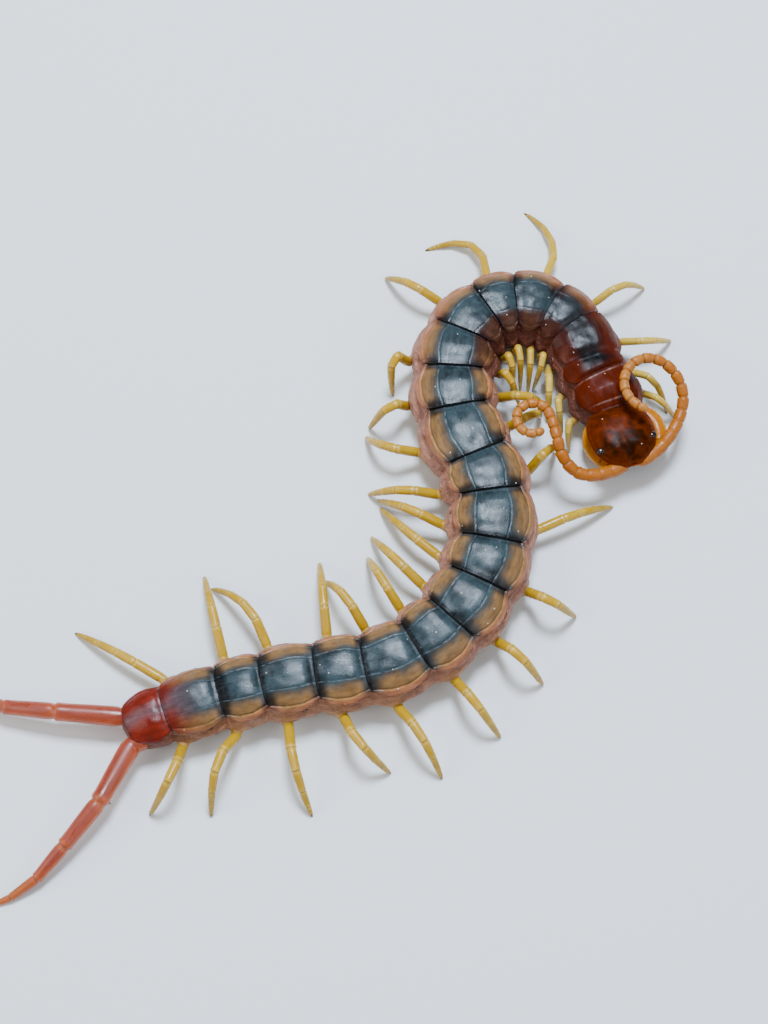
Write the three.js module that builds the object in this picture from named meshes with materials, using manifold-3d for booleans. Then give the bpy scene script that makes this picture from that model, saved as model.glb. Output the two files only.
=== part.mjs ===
// Giant centipede, about 100 mm from head to tail, at rest on a flat floor, its front curled round in a hook.
// Millimetres, +Z up, floor at z = 0, origin on the floor under the middle of the animal's bounding box.
// Angles are in degrees, seen from above, anticlockwise positive. Lengths along the body run from head to tail.

import * as THREE from 'three';
import Module from 'manifold-3d';

const wasm = await Module();
wasm.setup();

const GAP = 0.3;                       // air left between two pieces that touch
const BELLY = 1.1;                     // floor to belly plates
const HEAD_LENGTH = 6.6;

// Middle line of the body: front of the head, heading towards the tail, then arcs of [length, turn]
const SPINE_START = [33.9, 6.4];
const SPINE_HEADING = 109;
const SPINE_ARCS = [[6.6, 0], [4, 8], [3.5, -15], [19, 155], [12.5, 40], [31.5, -110], [23, 14]];

// Back plates 1 to 21 as [length, width of the body there]: the second is very short, then long and short alternate
const PLATES = [
  [4.0, 7.9], [2.1, 7.8], [4.3, 7.9], [3.2, 8.2], [4.0, 8.7], [3.3, 8.8], [4.1, 9.0],
  [4.5, 9.3], [4.6, 9.3], [5.7, 9.4], [4.5, 9.4], [5.3, 9.4], [4.6, 9.3], [4.9, 9.1],
  [4.6, 8.7], [5.4, 8.3], [4.9, 8.0], [5.4, 7.8], [4.4, 7.5], [5.6, 7.1], [4.0, 6.1],
];
const NECK_WIDTH = 7.4;
const TAIL_WIDTH = 5.0;
const PLATES_PER_LENGTH = 3;           // body plates in one length of trunk
const HEIGHT_TO_WIDTH = 0.6;

// Half section of a body ring, from the middle of the back round to the middle of the belly:
// share of the half width, share of the height, and the skin that it belongs to
const SECTION = [
  [0.00, 1.000, 'plate'],
  [0.36, 0.985, 'plate'],
  [0.66, 0.905, 'plate'],
  [0.87, 0.750, 'plate'],
  [0.87, 0.680, 'plate'],
  [0.84, 0.630, 'flank'],
  [1.00, 0.430, 'flank'],
  [0.94, 0.220, 'flank'],
  [0.72, 0.050, 'belly'],
  [0.40, 0.000, 'belly'],
  [0.00, 0.000, 'belly'],
];
const PLATE_PIVOT = 0.3;               // share of the height about which a plate's front edge is tucked in

// Rings along one segment: place as a share of its length, then the scale of plate and flank and the belly's lift.
// Each plate's front edge is tucked under the lip of the plate before it.
const RINGS = [
  { place: 0.00, plate: 0.92, flank: 0.90, lift: 0.25 },
  { place: 0.13, plate: 0.985, flank: 0.96, lift: 0.05 },
  { place: 0.52, plate: 1.00, flank: 1.00, lift: 0.00 },
  { place: 0.95, plate: 1.00, flank: 0.93, lift: 0.08 },
];
const LAST_RING = { place: 1.00, plate: 0.97, flank: 0.90, lift: 0.20 };

// Legs: the root's place as a share of its segment, by pair, and one leg's articles from the trunk to the claw
const LEG_PLACES = [[2, 0.5], [3, 0.42], [4, 0.32], [5, 0.3], [6, 0.42], [8, 0.5], [12, 0.64], [17, 0.68], [19, 0.76]];
const LEG_ROOT_SIDE = 0.72;            // share of the half width
const LEG_ROOT_HEIGHT = 0.24;          // share of the body's height
const STUB_OUT = 0.3;                  // how far the hip stands out of the flank
const STUB_SUNK = 1.2;
const STUB_SWING = 0.7;                // the hip turns with the leg by this share of its swing
const STUB_SWING_MOST = 34;
const HIP_MARGIN = 0.25;               // from the plane between two lengths of trunk to the nearest hip
const LEG_JOINTS = [0, 0.29, 0.50, 0.70, 0.87, 0.955, 1];
const LEG_RADII = [0.60, 0.55, 0.47, 0.38, 0.29, 0.20];
const LEG_SIDES = 6;
const KNEE_ROOM = 0.05;                // from a knee's crease to the rings on both sides of it
const FOOT_RADIUS = 0.13;              // the blunt claw tip that rests on the floor
const LEG_LENGTHS = [[0, 6.5], [5, 10.2], [6, 9.0], [10, 9.2], [14, 10.0], [19, 11.4]];   // by pair, from the hip
const LEG_SCALES = [[0, 0.75], [4, 0.88], [7, 1.0]];   // the front legs are thinner
const LEG_SOCKET = 1.9;                // how far along a leg the trunk is cut back from it

// Each leg's foot, seen from above: [swing towards the head from straight out, reach, bow towards the head]
const LEGS_LEFT = [
  [45, 5.5, 0.5], [60, 7.0, -0.5], [5, 7.5, 1.0], [18, 8.3, 0.0], [-28, 11.5, 2.0],
  [-40, 10.0, 3.0], [-8, 9.0, -0.5], [-58, 5.0, 1.0], [-15, 6.0, -0.5], [45, 8.0, -1.5],
  [22, 9.0, -0.5], [25, 9.5, -0.5], [25, 10.5, -0.5], [12, 10.0, -0.5], [8, 9.0, -0.5],
  [-17, 9.0, 0.0], [2, 10.5, 0.0], [-28, 11.0, 1.0], [0, 11.5, 0.0], [-40, 12.5, 0.0],
];
const LEGS_RIGHT = [
  [50, 4.0, -0.5], [60, 4.5, -0.5], [62, 6.5, 0.0], [25, 4.5, 0.5], [14, 5.5, 0.0],
  [-3, 5.2, 0.0], [-22, 4.6, 0.2], [-33, 5.0, -0.4], [0, 6.5, -1.0], [12, 6.0, -1.0],
  [28, 6.0, -0.5], [25, 10.5, 0.0], [0, 7.0, -1.0], [-2, 7.5, -0.5], [4, 8.5, -0.5],
  [14, 9.5, 0.0], [32, 8.5, -1.0], [4, 10.5, -0.5], [-30, 9.5, -0.5], [-42, 8.5, 1.0],
];

// Last legs: two thick trailing legs, [length, radius] of each article, and their way as arcs from the tail
const LAST_LEG_ARTICLES = [[6.8, 1.02], [5.3, 0.86], [4.0, 0.70], [3.0, 0.52], [1.9, 0.36], [1.0, 0.2]];
const LAST_LEG_SIDE = { left: 1.15, right: 1.9 };   // from the middle line to the root
const LAST_LEG_HEIGHT = 2.6;
const LAST_LEG_HEADINGS = { left: [-24, [[10, -4], [12, -30]]], right: [76, [[3.5, -45], [10.5, 0], [8, -40]]] };

// Feelers: 18 articles, their way seen from above from the front of the head, and their height
const FEELER_ARTICLES = 18;
const FEELER_RADII = [0.84, 0.68, 0.50];   // root, a third of the way, tip
const FEELER_SIDES = 7;
const FEELER_ROOT = [1.25, 0.3];       // from the middle line, and from the front of the head
const FEELER_HEIGHT = 4.35;
const FEELER_SOCKET = 4.5;             // how far along a feeler the head is cut back from it
const FEELERS = {
  left: { heading: 100, arcs: [[7.5, 49], [4.8, 76], [10.4, 193]], rise: 3.1, from: 0.25, to: 0.7 },
  right: {
    heading: -78, arcs: [[2.8, -16], [5.3, -92], [2.4, 0], [1.2, 8], [5.4, 175], [3.4, 120]],
    rise: 2.2, from: 0.2, to: 0.45,
  },
};

// Head capsule, jaw plate and poison claws
const HEAD_SIDE = -0.45;               // the head leans this far to its right, the poison claws to their left
const CLAW_SIDE = 0.4;
const HEAD_HALF_WIDTH = 3.5;
const HEAD_WIDEST = 3.7;               // from the front of the head to its widest place
const HEAD_UNDERSIDE = 3.45;
const HEAD_RIM = 4.5;
const HEAD_TOP = 5.75;
const JAW_TOP = 3.1;
const CLAW_PATH = [                    // poison claw: [from the front, from the middle line, height, radius]
  [5.9, 2.75, 2.10, 1.00], [5.2, 3.25, 2.10, 1.05], [4.3, 3.55, 2.10, 1.04], [3.3, 3.50, 2.10, 0.98],
  [2.3, 3.15, 2.05, 0.86], [1.5, 2.55, 2.00, 0.70], [0.9, 1.80, 1.90, 0.48], [0.55, 1.05, 1.80, 0.26],
  [0.45, 0.50, 1.75, 0.10],
];
const EYE_PLACE = [2.8, 2.2, 5.0];     // from the middle line, from the front of the head, and height
const EYE_BED = [0.62, 0.5, 0.42];     // half sizes of the low mound that the four eyelets stand on
const EYELET_RADIUS = 0.2;

const radians = THREE.MathUtils.degToRad;
const UP = new THREE.Vector3(0, 0, 1);

// Place and angle at a distance along a chain of arcs, seen from above
function walk([x, y], heading, arcs, distance) {
  let angle = radians(heading);
  let rest = distance;
  for (const [length, turn] of arcs) {
    const step = Math.min(rest, length);
    const bend = radians(turn) / length;
    if (Math.abs(bend) < 1e-6) {
      x += step * Math.cos(angle);
      y += step * Math.sin(angle);
    } else {
      x += (Math.sin(angle + bend * step) - Math.sin(angle)) / bend;
      y -= (Math.cos(angle + bend * step) - Math.cos(angle)) / bend;
    }
    angle += bend * step;
    rest -= step;
    if (rest <= 0) break;
  }
  if (rest > 0) {
    x += rest * Math.cos(angle);
    y += rest * Math.sin(angle);
  }
  return { x, y, angle };
}

// The body's own directions at a distance from the front of the head: towards the tail, and to the animal's left
function spine(distance) {
  const { x, y, angle } = walk(SPINE_START, SPINE_HEADING, SPINE_ARCS, distance);
  return {
    at: new THREE.Vector3(x, y, 0),
    back: new THREE.Vector3(Math.cos(angle), Math.sin(angle), 0),
    left: new THREE.Vector3(Math.sin(angle), -Math.cos(angle), 0),
  };
}

function place(frame, back, left, height) {
  return frame.at.clone()
    .addScaledVector(frame.back, back)
    .addScaledVector(frame.left, left)
    .addScaledVector(UP, height);
}

const smooth = (t) => THREE.MathUtils.smoothstep(t, 0, 1);
const mix = THREE.MathUtils.lerp;

// Value at x of a line through the points of a list of [x, value]
function along(points, x) {
  let i = 1;
  while (i < points.length - 1 && x > points[i][0]) i += 1;
  const [x0, v0] = points[i - 1];
  const [x1, v1] = points[i];
  return mix(v0, v1, THREE.MathUtils.clamp((x - x0) / (x1 - x0), 0, 1));
}

// Closed skin through rings of points; each ring runs anticlockwise about the way from first to last ring
function loft(rings) {
  const count = rings[0].length;
  const points = rings.flat();
  const faces = [];
  for (let i = 0; i < rings.length - 1; i += 1) {
    for (let j = 0; j < count; j += 1) {
      const a = i * count + j;
      const b = i * count + (j + 1) % count;
      faces.push(a, b, b + count, a, b + count, a + count);
    }
  }
  const middle = (ring) => ring.reduce((sum, p) => sum.add(p), new THREE.Vector3()).divideScalar(count);
  const first = points.push(middle(rings[0])) - 1;
  const last = points.push(middle(rings[rings.length - 1])) - 1;
  const end = (rings.length - 1) * count;
  for (let j = 0; j < count; j += 1) {
    const k = (j + 1) % count;
    faces.push(first, k, j, last, end + j, end + k);
  }
  return solid(points.flatMap((p) => [p.x, p.y, p.z]), faces);
}

// Tube of stations { at, along, wide, high }, with its sides kept level by the direction given as side,
// and flattened where it meets the floor
function tube(stations, side, sides) {
  return loft(stations.map((station) => {
    const ahead = station.along.clone().normalize();
    const across = side.clone().addScaledVector(ahead, -side.dot(ahead)).normalize();
    const over = new THREE.Vector3().crossVectors(ahead, across);
    const ring = [];
    for (let j = 0; j < sides; j += 1) {
      const turn = 2 * Math.PI * (j + 0.5) / sides;
      const point = station.at.clone()
        .addScaledVector(across, Math.cos(turn) * station.wide)
        .addScaledVector(over, Math.sin(turn) * (station.high ?? station.wide));
      ring.push(point.setZ(Math.max(point.z, 0)));
    }
    return ring;
  }));
}

function solid(positions, faces) {
  return new wasm.Manifold(new wasm.Mesh({
    numProp: 3,
    vertProperties: new Float32Array(positions),
    triVerts: new Uint32Array(faces),
  }));
}

// A round or flattened mound with flat facets
function mound(at, sizes, across, rows) {
  const ball = new THREE.SphereGeometry(1, across, rows).rotateX(Math.PI / 2);
  const positions = ball.attributes.position;
  const keys = new Map();
  const points = [];
  const index = [];
  for (let i = 0; i < positions.count; i += 1) {
    const p = new THREE.Vector3().fromBufferAttribute(positions, i).multiply(sizes).add(at);
    const key = p.toArray().map((v) => v.toFixed(4)).join();
    if (!keys.has(key)) {
      keys.set(key, points.length / 3);
      points.push(...p.toArray());
    }
    index.push(keys.get(key));
  }
  const faces = [];
  for (let i = 0; i < ball.index.count; i += 3) {
    const [a, b, c] = [0, 1, 2].map((j) => index[ball.index.getX(i + j)]);
    if (a !== b && b !== c && c !== a) faces.push(a, b, c);
  }
  return solid(points, faces);
}

const group = new THREE.Group();

// The largest closed body of a solid, as a named piece of the animal
function add(name, body, color, roughness) {
  const [largest] = body.decompose().sort((a, b) => b.volume() - a.volume());
  const mesh = largest.getMesh();
  const geometry = new THREE.BufferGeometry();
  geometry.setAttribute('position', new THREE.BufferAttribute(new Float32Array(mesh.vertProperties), 3));
  geometry.setIndex(new THREE.BufferAttribute(new Uint32Array(mesh.triVerts), 1));
  const piece = new THREE.Mesh(geometry, new THREE.MeshStandardMaterial({ color, roughness, metalness: 0 }));
  piece.name = name;
  group.add(piece);
}

// Trunk
const starts = [HEAD_LENGTH];
PLATES.forEach(([length]) => starts.push(starts[starts.length - 1] + length));
const tail = starts[PLATES.length];
const widths = [
  [HEAD_LENGTH, NECK_WIDTH],
  ...PLATES.map(([length, width], i) => [starts[i] + length / 2, width]),
  [tail, TAIL_WIDTH],
];
const halfWidth = (distance) => along(widths, distance) / 2;
const bodyHeight = (distance) => 2 * HEIGHT_TO_WIDTH * halfWidth(distance);

// One ring of the trunk; shift moves a length's end ring back or forward to leave the gap, in its own plane
function bodyRing(distance, ring, shift) {
  const frame = spine(distance);
  const half = halfWidth(distance);
  const height = bodyHeight(distance);
  const point = ([u, v, part], side) => {
    let across = u * half;
    let up = v * height;
    if (part === 'plate') {
      across *= ring.plate;
      up = (PLATE_PIVOT + (v - PLATE_PIVOT) * ring.plate) * height;
    } else {
      across *= ring.flank;
    }
    if (part === 'belly') up += ring.lift;
    return place(frame, shift, side * across, BELLY + up);
  };
  const left = SECTION.map((entry) => point(entry, 1));
  const right = SECTION.slice(1, -1).reverse().map((entry) => point(entry, -1));
  return [...left, ...right];
}

function trunkLength(first, last) {
  const rings = [];
  for (let i = first; i <= last; i += 1) {
    RINGS.forEach((ring) => {
      const atStart = i === first && ring.place === 0;
      rings.push(bodyRing(starts[i] + ring.place * PLATES[i][0], ring, atStart ? GAP / 2 : 0));
    });
  }
  rings.push(bodyRing(starts[last + 1], LAST_RING, -GAP / 2));
  return loft(rings);
}

// Where a leg joins the trunk: the root inside the flank, the way that its hip points, and how far out the hip ends
function hip(pair, side, swing) {
  const distance = starts[pair] + along(LEG_PLACES, pair) * PLATES[pair][0];
  const frame = spine(distance);
  const half = halfWidth(distance);
  const turn = radians(THREE.MathUtils.clamp(swing * STUB_SWING, -STUB_SWING_MOST, STUB_SWING_MOST));
  const root = place(frame, 0, side * LEG_ROOT_SIDE * half, BELLY + LEG_ROOT_HEIGHT * bodyHeight(distance));
  const out = new THREE.Vector3()
    .addScaledVector(frame.left, side * Math.cos(turn))
    .addScaledVector(frame.back, -Math.sin(turn));
  const reach = (0.96 - LEG_ROOT_SIDE) * half / Math.cos(turn) + STUB_OUT;
  return { frame, root, out, reach, radius: LEG_RADII[0] * along(LEG_SCALES, pair) };
}

function stub({ root, out, reach, radius }) {
  const level = new THREE.Vector3().crossVectors(UP, out);
  return tube([
    { at: root.clone().addScaledVector(out, -STUB_SUNK), along: out, wide: radius * 1.3 },
    { at: root.clone().addScaledVector(out, reach), along: out, wide: radius * 1.08 },
  ], level, LEG_SIDES);
}

// A hip stops short of the planes where its length of trunk ends
function within(body, first, last) {
  const head = spine(starts[first]);
  const rear = spine(starts[last + 1]);
  const trimmed = body.trimByPlane(head.back.toArray(), head.back.dot(head.at) + HIP_MARGIN);
  return trimmed.trimByPlane(rear.back.clone().negate().toArray(), HIP_MARGIN - rear.back.dot(rear.at));
}

const poses = { left: LEGS_LEFT, right: LEGS_RIGHT };
const sideSign = { left: 1, right: -1 };
const pairs = LEGS_LEFT.length;

// A leg's bent line from hip to foot, arched just enough to have the length given
function legLine(start, foot, bow, length) {
  const ahead = foot.clone().sub(start).setZ(0).normalize();
  return (frame) => {
    const bend = frame.back.clone().multiplyScalar(-1);
    bend.addScaledVector(ahead, -bend.dot(ahead)).normalize();
    const curve = (arch) => {
      const line = [];
      for (let i = 0; i <= 48; i += 1) {
        const t = i / 48;
        const p = new THREE.Vector3().lerpVectors(start, foot, t).addScaledVector(bend, bow * 4 * t * (1 - t));
        line.push(p.addScaledVector(UP, arch * Math.sin(Math.PI * t)));
      }
      return new THREE.CatmullRomCurve3(line, false, 'centripetal');
    };
    let low = 0;
    let high = length;
    for (let i = 0; i < 24; i += 1) {
      const arch = (low + high) / 2;
      if (curve(arch).getLength() < length) low = arch;
      else high = arch;
    }
    return curve(low);
  };
}

// One leg; for the cut that keeps the trunk clear of it, it's wider by extra and ends at most from its root
function leg(pair, name, extra, most) {
  const side = sideSign[name];
  const [swing, reach, bow] = poses[name][pair];
  const { frame, root, out, reach: hipReach, radius } = hip(pair, side, swing);
  const start = root.clone().addScaledVector(out, hipReach + GAP);
  const turn = radians(swing);
  const foot = root.clone()
    .addScaledVector(frame.left, side * Math.cos(turn) * reach)
    .addScaledVector(frame.back, -Math.sin(turn) * reach)
    .setZ(0);
  const line = legLine(start, foot, bow, along(LEG_LENGTHS, pair))(frame);
  const joints = LEG_JOINTS.map((share) => line.getPointAt(share));
  const level = new THREE.Vector3().crossVectors(UP, foot.clone().sub(start).setZ(0).normalize());
  const scale = radius / LEG_RADII[0];
  const stations = [{ at: start.clone().addScaledVector(out, -extra), along: out, wide: radius * 0.95 + extra }];
  const last = joints.length - 2;
  const article = (i) => joints[i + 1].clone().sub(joints[i]);
  const room = (i) => KNEE_ROOM + radius * Math.tan(article(i - 1).angleTo(article(i)) / 2);
  const station = (i, share, wide) => {
    const at = joints[i].clone().addScaledVector(article(i), share);
    if (at.distanceTo(start) < most) stations.push({ at, along: article(i), wide: wide * scale + extra });
  };
  for (let i = 0; i <= last; i += 1) {
    const next = LEG_RADII[Math.min(i + 1, last)];
    const long = article(i).length();
    const from = i === 0 ? 0.3 : Math.max(0.14, room(i) / long);
    const to = i < last ? Math.min(0.9, 1 - room(i + 1) / long) : 1;
    station(i, from, LEG_RADII[i]);
    if (i < 2) station(i, mix(from, to, 0.55), mix(LEG_RADII[i], next, 0.35));
    if (i < last) station(i, to, mix(LEG_RADII[i], next, 0.7));
  }
  if (most === Infinity) {
    stations.push({ at: joints[joints.length - 1].clone().setZ(0), along: UP.clone().negate(), wide: FOOT_RADIUS });
  }
  return tube(stations, level, LEG_SIDES);
}

for (let first = 0; first < PLATES.length; first += PLATES_PER_LENGTH) {
  const last = first + PLATES_PER_LENGTH - 1;
  let body = trunkLength(first, last);
  for (let pair = first; pair <= Math.min(last, pairs - 1); pair += 1) {
    Object.entries(poses).forEach(([name, table]) => {
      body = body.add(within(stub(hip(pair, sideSign[name], table[pair][0])), first, last));
    });
  }
  for (let pair = Math.max(0, first - 1); pair <= Math.min(last + 1, pairs - 1); pair += 1) {
    Object.keys(poses).forEach((name) => { body = body.subtract(leg(pair, name, GAP + 0.04, LEG_SOCKET)); });
  }
  add(`trunk_${first / PLATES_PER_LENGTH + 1}`, body, first === 0 || last === 20 ? '#7a2f20' : '#4c555b', 0.3);
}

// Legs
for (let pair = 0; pair < pairs; pair += 1) {
  const number = String(pair + 1).padStart(2, '0');
  Object.keys(poses).forEach((name) => add(`leg_${name}_${number}`, leg(pair, name, 0, Infinity), '#c39a3c', 0.4));
}

// Last legs, trailing behind on the floor
function lastLeg(name) {
  const end = spine(tail);
  const [swing, arcs] = LAST_LEG_HEADINGS[name];
  const side = sideSign[name];
  const root = place(end, GAP / 2, side * LAST_LEG_SIDE[name], LAST_LEG_HEIGHT);
  const heading = THREE.MathUtils.radToDeg(Math.atan2(end.back.y, end.back.x)) + swing;
  const whole = LAST_LEG_ARTICLES.reduce((sum, [length]) => sum + length, 0);
  const on = (distance) => {
    const { x, y } = walk([root.x, root.y], heading, arcs, distance);
    const t = distance / whole;
    return new THREE.Vector3(x, y, LAST_LEG_HEIGHT * (1 - smooth(t) ) + 0.9 * Math.sin(Math.PI * t));
  };
  let from = 0;
  const stations = [{ at: root, along: end.back, wide: LAST_LEG_ARTICLES[0][1] }];
  LAST_LEG_ARTICLES.forEach(([length, radius], i) => {
    const start = on(from);
    const ahead = on(from + length).sub(start);
    const at = (share) => start.clone().addScaledVector(ahead, share);
    const next = LAST_LEG_ARTICLES[i + 1]?.[1] ?? FOOT_RADIUS;
    stations.push({ at: at(i === 0 ? 0.2 : 0.1), along: ahead, wide: radius * (i === 0 ? 1.04 : 0.96) });
    stations.push({ at: at(0.5), along: ahead, wide: radius });
    if (i < LAST_LEG_ARTICLES.length - 1) stations.push({ at: at(0.93), along: ahead, wide: mix(radius, next, 0.4) });
    from += length;
  });
  const tip = on(whole).setZ(0);
  stations.push({ at: tip, along: UP.clone().negate(), wide: FOOT_RADIUS });
  const level = new THREE.Vector3().crossVectors(UP, tip.clone().sub(root).setZ(0).normalize());
  return tube(stations, level, 8);
}
Object.keys(poses).forEach((name) => add(`last_leg_${name}`, lastLeg(name), '#a8402c', 0.35));

// Feelers
const headFrame = spine(0);
headFrame.at.addScaledVector(headFrame.left, HEAD_SIDE);
function feeler(name, extra, most) {
  const { heading, arcs, rise, from, to } = FEELERS[name];
  const root = place(headFrame, FEELER_ROOT[1], sideSign[name] * FEELER_ROOT[0], 0);
  const whole = arcs.reduce((sum, [length]) => sum + length, 0);
  const on = (distance) => {
    const { x, y } = walk([root.x, root.y], SPINE_HEADING + 180 + heading, arcs, distance);
    const t = distance / whole;
    return new THREE.Vector3(x, y, FEELER_HEIGHT + rise * smooth((t - from) / (to - from)));
  };
  const lengths = [];
  for (let i = 0; i < FEELER_ARTICLES; i += 1) lengths.push(mix(1.15, 0.85, i / (FEELER_ARTICLES - 1)));
  const scale = whole / lengths.reduce((sum, length) => sum + length, 0);
  const radius = (t) => along([[0, FEELER_RADII[0]], [0.33, FEELER_RADII[1]], [1, FEELER_RADII[2]]], t);
  const rootWay = on(0.05).sub(on(0));
  const stations = [{ at: on(-extra), along: rootWay, wide: FEELER_RADII[0] * 0.9 + extra }];
  let start = 0;
  lengths.forEach((length, i) => {
    const bead = mix(0.96, 0.84, smooth(i / 6));
    const end = start + length * scale;
    [[0.06, bead], [0.35, 1], [0.80, 1.02]].forEach(([share, swell]) => {
      const distance = mix(start, end, share);
      if (distance > most || distance < 0.1) return;
      const ahead = on(distance + 0.05).sub(on(distance - 0.05));
      stations.push({ at: on(distance), along: ahead, wide: radius(distance / whole) * swell + extra });
    });
    start = end;
  });
  if (most > whole) {
    const ahead = on(whole).sub(on(whole - 0.1));
    stations.push({ at: on(whole), along: ahead, wide: FEELER_RADII[2] * 0.55 });
  }
  return tube(stations, UP, FEELER_SIDES);
}
Object.keys(FEELERS).forEach((name) => add(`antenna_${name}`, feeler(name, 0, Infinity), '#c9762c', 0.4));

const clawFrame = spine(0);
clawFrame.at.addScaledVector(clawFrame.left, CLAW_SIDE);

// Poison claws, which curve forward from the jaw plate and meet under the front of the head
function poisonClaw(side, extra) {
  const points = CLAW_PATH.map(([back, across, height]) => place(clawFrame, back, side * across, height));
  const stations = points.map((at, i) => ({
    at,
    along: points[Math.min(i + 1, points.length - 1)].clone().sub(points[Math.max(i - 1, 0)]),
    wide: CLAW_PATH[i][3] + extra,
    high: Math.min(CLAW_PATH[i][3], 0.98) + extra,
  }));
  stations[0].at.addScaledVector(stations[0].along.normalize(), -extra);
  return tube(stations, UP, 8);
}
Object.entries(sideSign).forEach(([name, side]) => add(`forcipule_${name}`, poisonClaw(side, 0), '#b8701c', 0.25));

// Jaw plate under the head, with the claws' sockets in its front corners
function jawPlate() {
  const stations = [[6.35, 3.35], [5.0, 3.3], [3.6, 2.6], [2.4, 1.9], [1.9, 1.5]];
  const rings = stations.map(([back, half]) => [
    [1, 0.5], [0.8, 1], [-0.8, 1], [-1, 0.5], [-0.75, 0], [0.75, 0],
  ].map(([u, v]) => place(clawFrame, back, u * half, mix(BELLY, JAW_TOP, v))));
  return loft(rings)
    .subtract(poisonClaw(1, GAP))
    .subtract(poisonClaw(-1, GAP));
}
add('forcipule_base', jawPlate(), '#9a4a1c', 0.3);

// Head capsule
function headHalf(back) {
  if (back < HEAD_WIDEST) return HEAD_HALF_WIDTH * (1 - ((HEAD_WIDEST - back) / (HEAD_WIDEST + 0.15)) ** 2.4) ** (1 / 2.4);
  return HEAD_HALF_WIDTH - 0.3 * ((back - HEAD_WIDEST) / (HEAD_LENGTH - HEAD_WIDEST)) ** 2;
}

function headRing(back) {
  const half = headHalf(back);
  const dome = smooth((back + 0.6) / 3);
  const rim = mix(HEAD_RIM - 0.35, HEAD_RIM, dome);
  const top = mix(HEAD_TOP - 0.9, HEAD_TOP, dome);
  const profile = [
    [0, top], [0.4, mix(rim, top, 0.94)], [0.72, mix(rim, top, 0.72)], [0.93, mix(rim, top, 0.35)], [1, rim],
    [0.97, rim - 0.5], [0.8, HEAD_UNDERSIDE], [0, HEAD_UNDERSIDE],
  ];
  const left = profile.map(([u, z]) => place(headFrame, back, u * half, z));
  const right = profile.slice(1, -1).reverse().map(([u, z]) => place(headFrame, back, -u * half, z));
  return [...left, ...right];
}

// The four eyelets of one side on their common bed
function eye(side, extra) {
  const [across, back, height] = EYE_PLACE;
  const spot = place(headFrame, back, side * across, height);
  let body = mound(spot, new THREE.Vector3(...EYE_BED).addScalar(extra), 10, 6);
  for (let i = 0; i < 4; i += 1) {
    const turn = radians(45 + 90 * i);
    const at = spot.clone()
      .addScaledVector(headFrame.left, side * (0.3 * Math.cos(turn) + 0.05))
      .addScaledVector(headFrame.back, 0.27 * Math.sin(turn))
      .addScaledVector(UP, 0.3);
    body = body.add(mound(at, new THREE.Vector3(1, 1, 1).multiplyScalar(EYELET_RADIUS + extra), 8, 5));
  }
  return body;
}

let head = loft([0, 0.3, 0.8, 1.5, 2.5, 3.7, 5.0, HEAD_LENGTH - GAP / 2].map(headRing));
Object.entries(sideSign).forEach(([name, side]) => {
  head = head.subtract(feeler(name, GAP, FEELER_SOCKET)).subtract(eye(side, GAP));
  add(`eye_${name}`, eye(side, 0), '#120c0a', 0.1);
});
add('head', head, '#6b2a14', 0.25);

export default group;
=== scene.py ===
import functools
import math
import random

import bpy
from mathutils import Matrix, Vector, noise


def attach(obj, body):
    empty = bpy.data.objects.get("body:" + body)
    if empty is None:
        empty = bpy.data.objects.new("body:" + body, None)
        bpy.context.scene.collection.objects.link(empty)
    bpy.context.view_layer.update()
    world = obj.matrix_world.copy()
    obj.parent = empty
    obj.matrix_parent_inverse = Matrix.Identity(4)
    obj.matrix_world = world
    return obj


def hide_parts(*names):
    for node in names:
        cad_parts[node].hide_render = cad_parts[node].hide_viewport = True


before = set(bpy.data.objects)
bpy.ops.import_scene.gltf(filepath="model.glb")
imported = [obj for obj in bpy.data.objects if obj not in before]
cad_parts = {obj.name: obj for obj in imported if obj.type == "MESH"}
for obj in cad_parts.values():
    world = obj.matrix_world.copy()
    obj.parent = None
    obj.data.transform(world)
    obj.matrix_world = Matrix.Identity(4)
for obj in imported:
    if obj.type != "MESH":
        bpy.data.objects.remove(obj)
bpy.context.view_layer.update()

# Soft hide. One tough, wrinkled skin runs from the head to the tail under the plates. It shows on the flanks,
# where it bulges in a fold beside each plate and swells round every hip. It is closed at both ends.
MM = 0.001
UP = Vector((0, 0, 1))
BELLY = 1.1                    # floor to belly plates
HEAD_LENGTH = 6.6
SPINE_START = (33.9, 6.4)      # front of the head, heading towards the tail, then arcs of length and turn
SPINE_HEADING = 109
SPINE_ARCS = ((6.6, 0), (4, 8), (3.5, -15), (19, 155), (12.5, 40), (31.5, -110), (23, 14))
PLATES = (                     # back plates 1 to 21: length, and width of the body there
    (4.0, 7.9), (2.1, 7.8), (4.3, 7.9), (3.2, 8.2), (4.0, 8.7), (3.3, 8.8), (4.1, 9.0),
    (4.5, 9.3), (4.6, 9.3), (5.7, 9.4), (4.5, 9.4), (5.3, 9.4), (4.6, 9.3), (4.9, 9.1),
    (4.6, 8.7), (5.4, 8.3), (4.9, 8.0), (5.4, 7.8), (4.4, 7.5), (5.6, 7.1), (4.0, 6.1),
)
NECK_WIDTH = 7.4
TAIL_WIDTH = 5.0
HEIGHT_TO_WIDTH = 0.6
SKIN_SECTION = (               # half a ring, middle of the back to middle of the belly: shares of half width and height
    (0.00, 0.950), (0.36, 0.935), (0.64, 0.865), (0.80, 0.740), (0.84, 0.640), (0.93, 0.560),
    (1.00, 0.430), (0.96, 0.260), (0.80, 0.080), (0.44, 0.015), (0.00, 0.010),
)
SKIN_RINGS = 500
SKIN_ROUND = 104
SKIN_ENDS = (5.2, 0.5)         # how far the skin starts behind the front of the head, and ends behind the last plate
LEG_PLACES = ((2, 0.5), (3, 0.42), (4, 0.32), (5, 0.3), (6, 0.42), (8, 0.5), (12, 0.64), (17, 0.68), (19, 0.76))
LEG_ROOT_HEIGHT = 0.24         # share of the body's height
HIP_SWELL = 0.30
HIP_ROUND = 1.0                # half width of the swelling round a hip
FOLD_DEPTH = 0.22
BACK_DIP = 0.32

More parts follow.
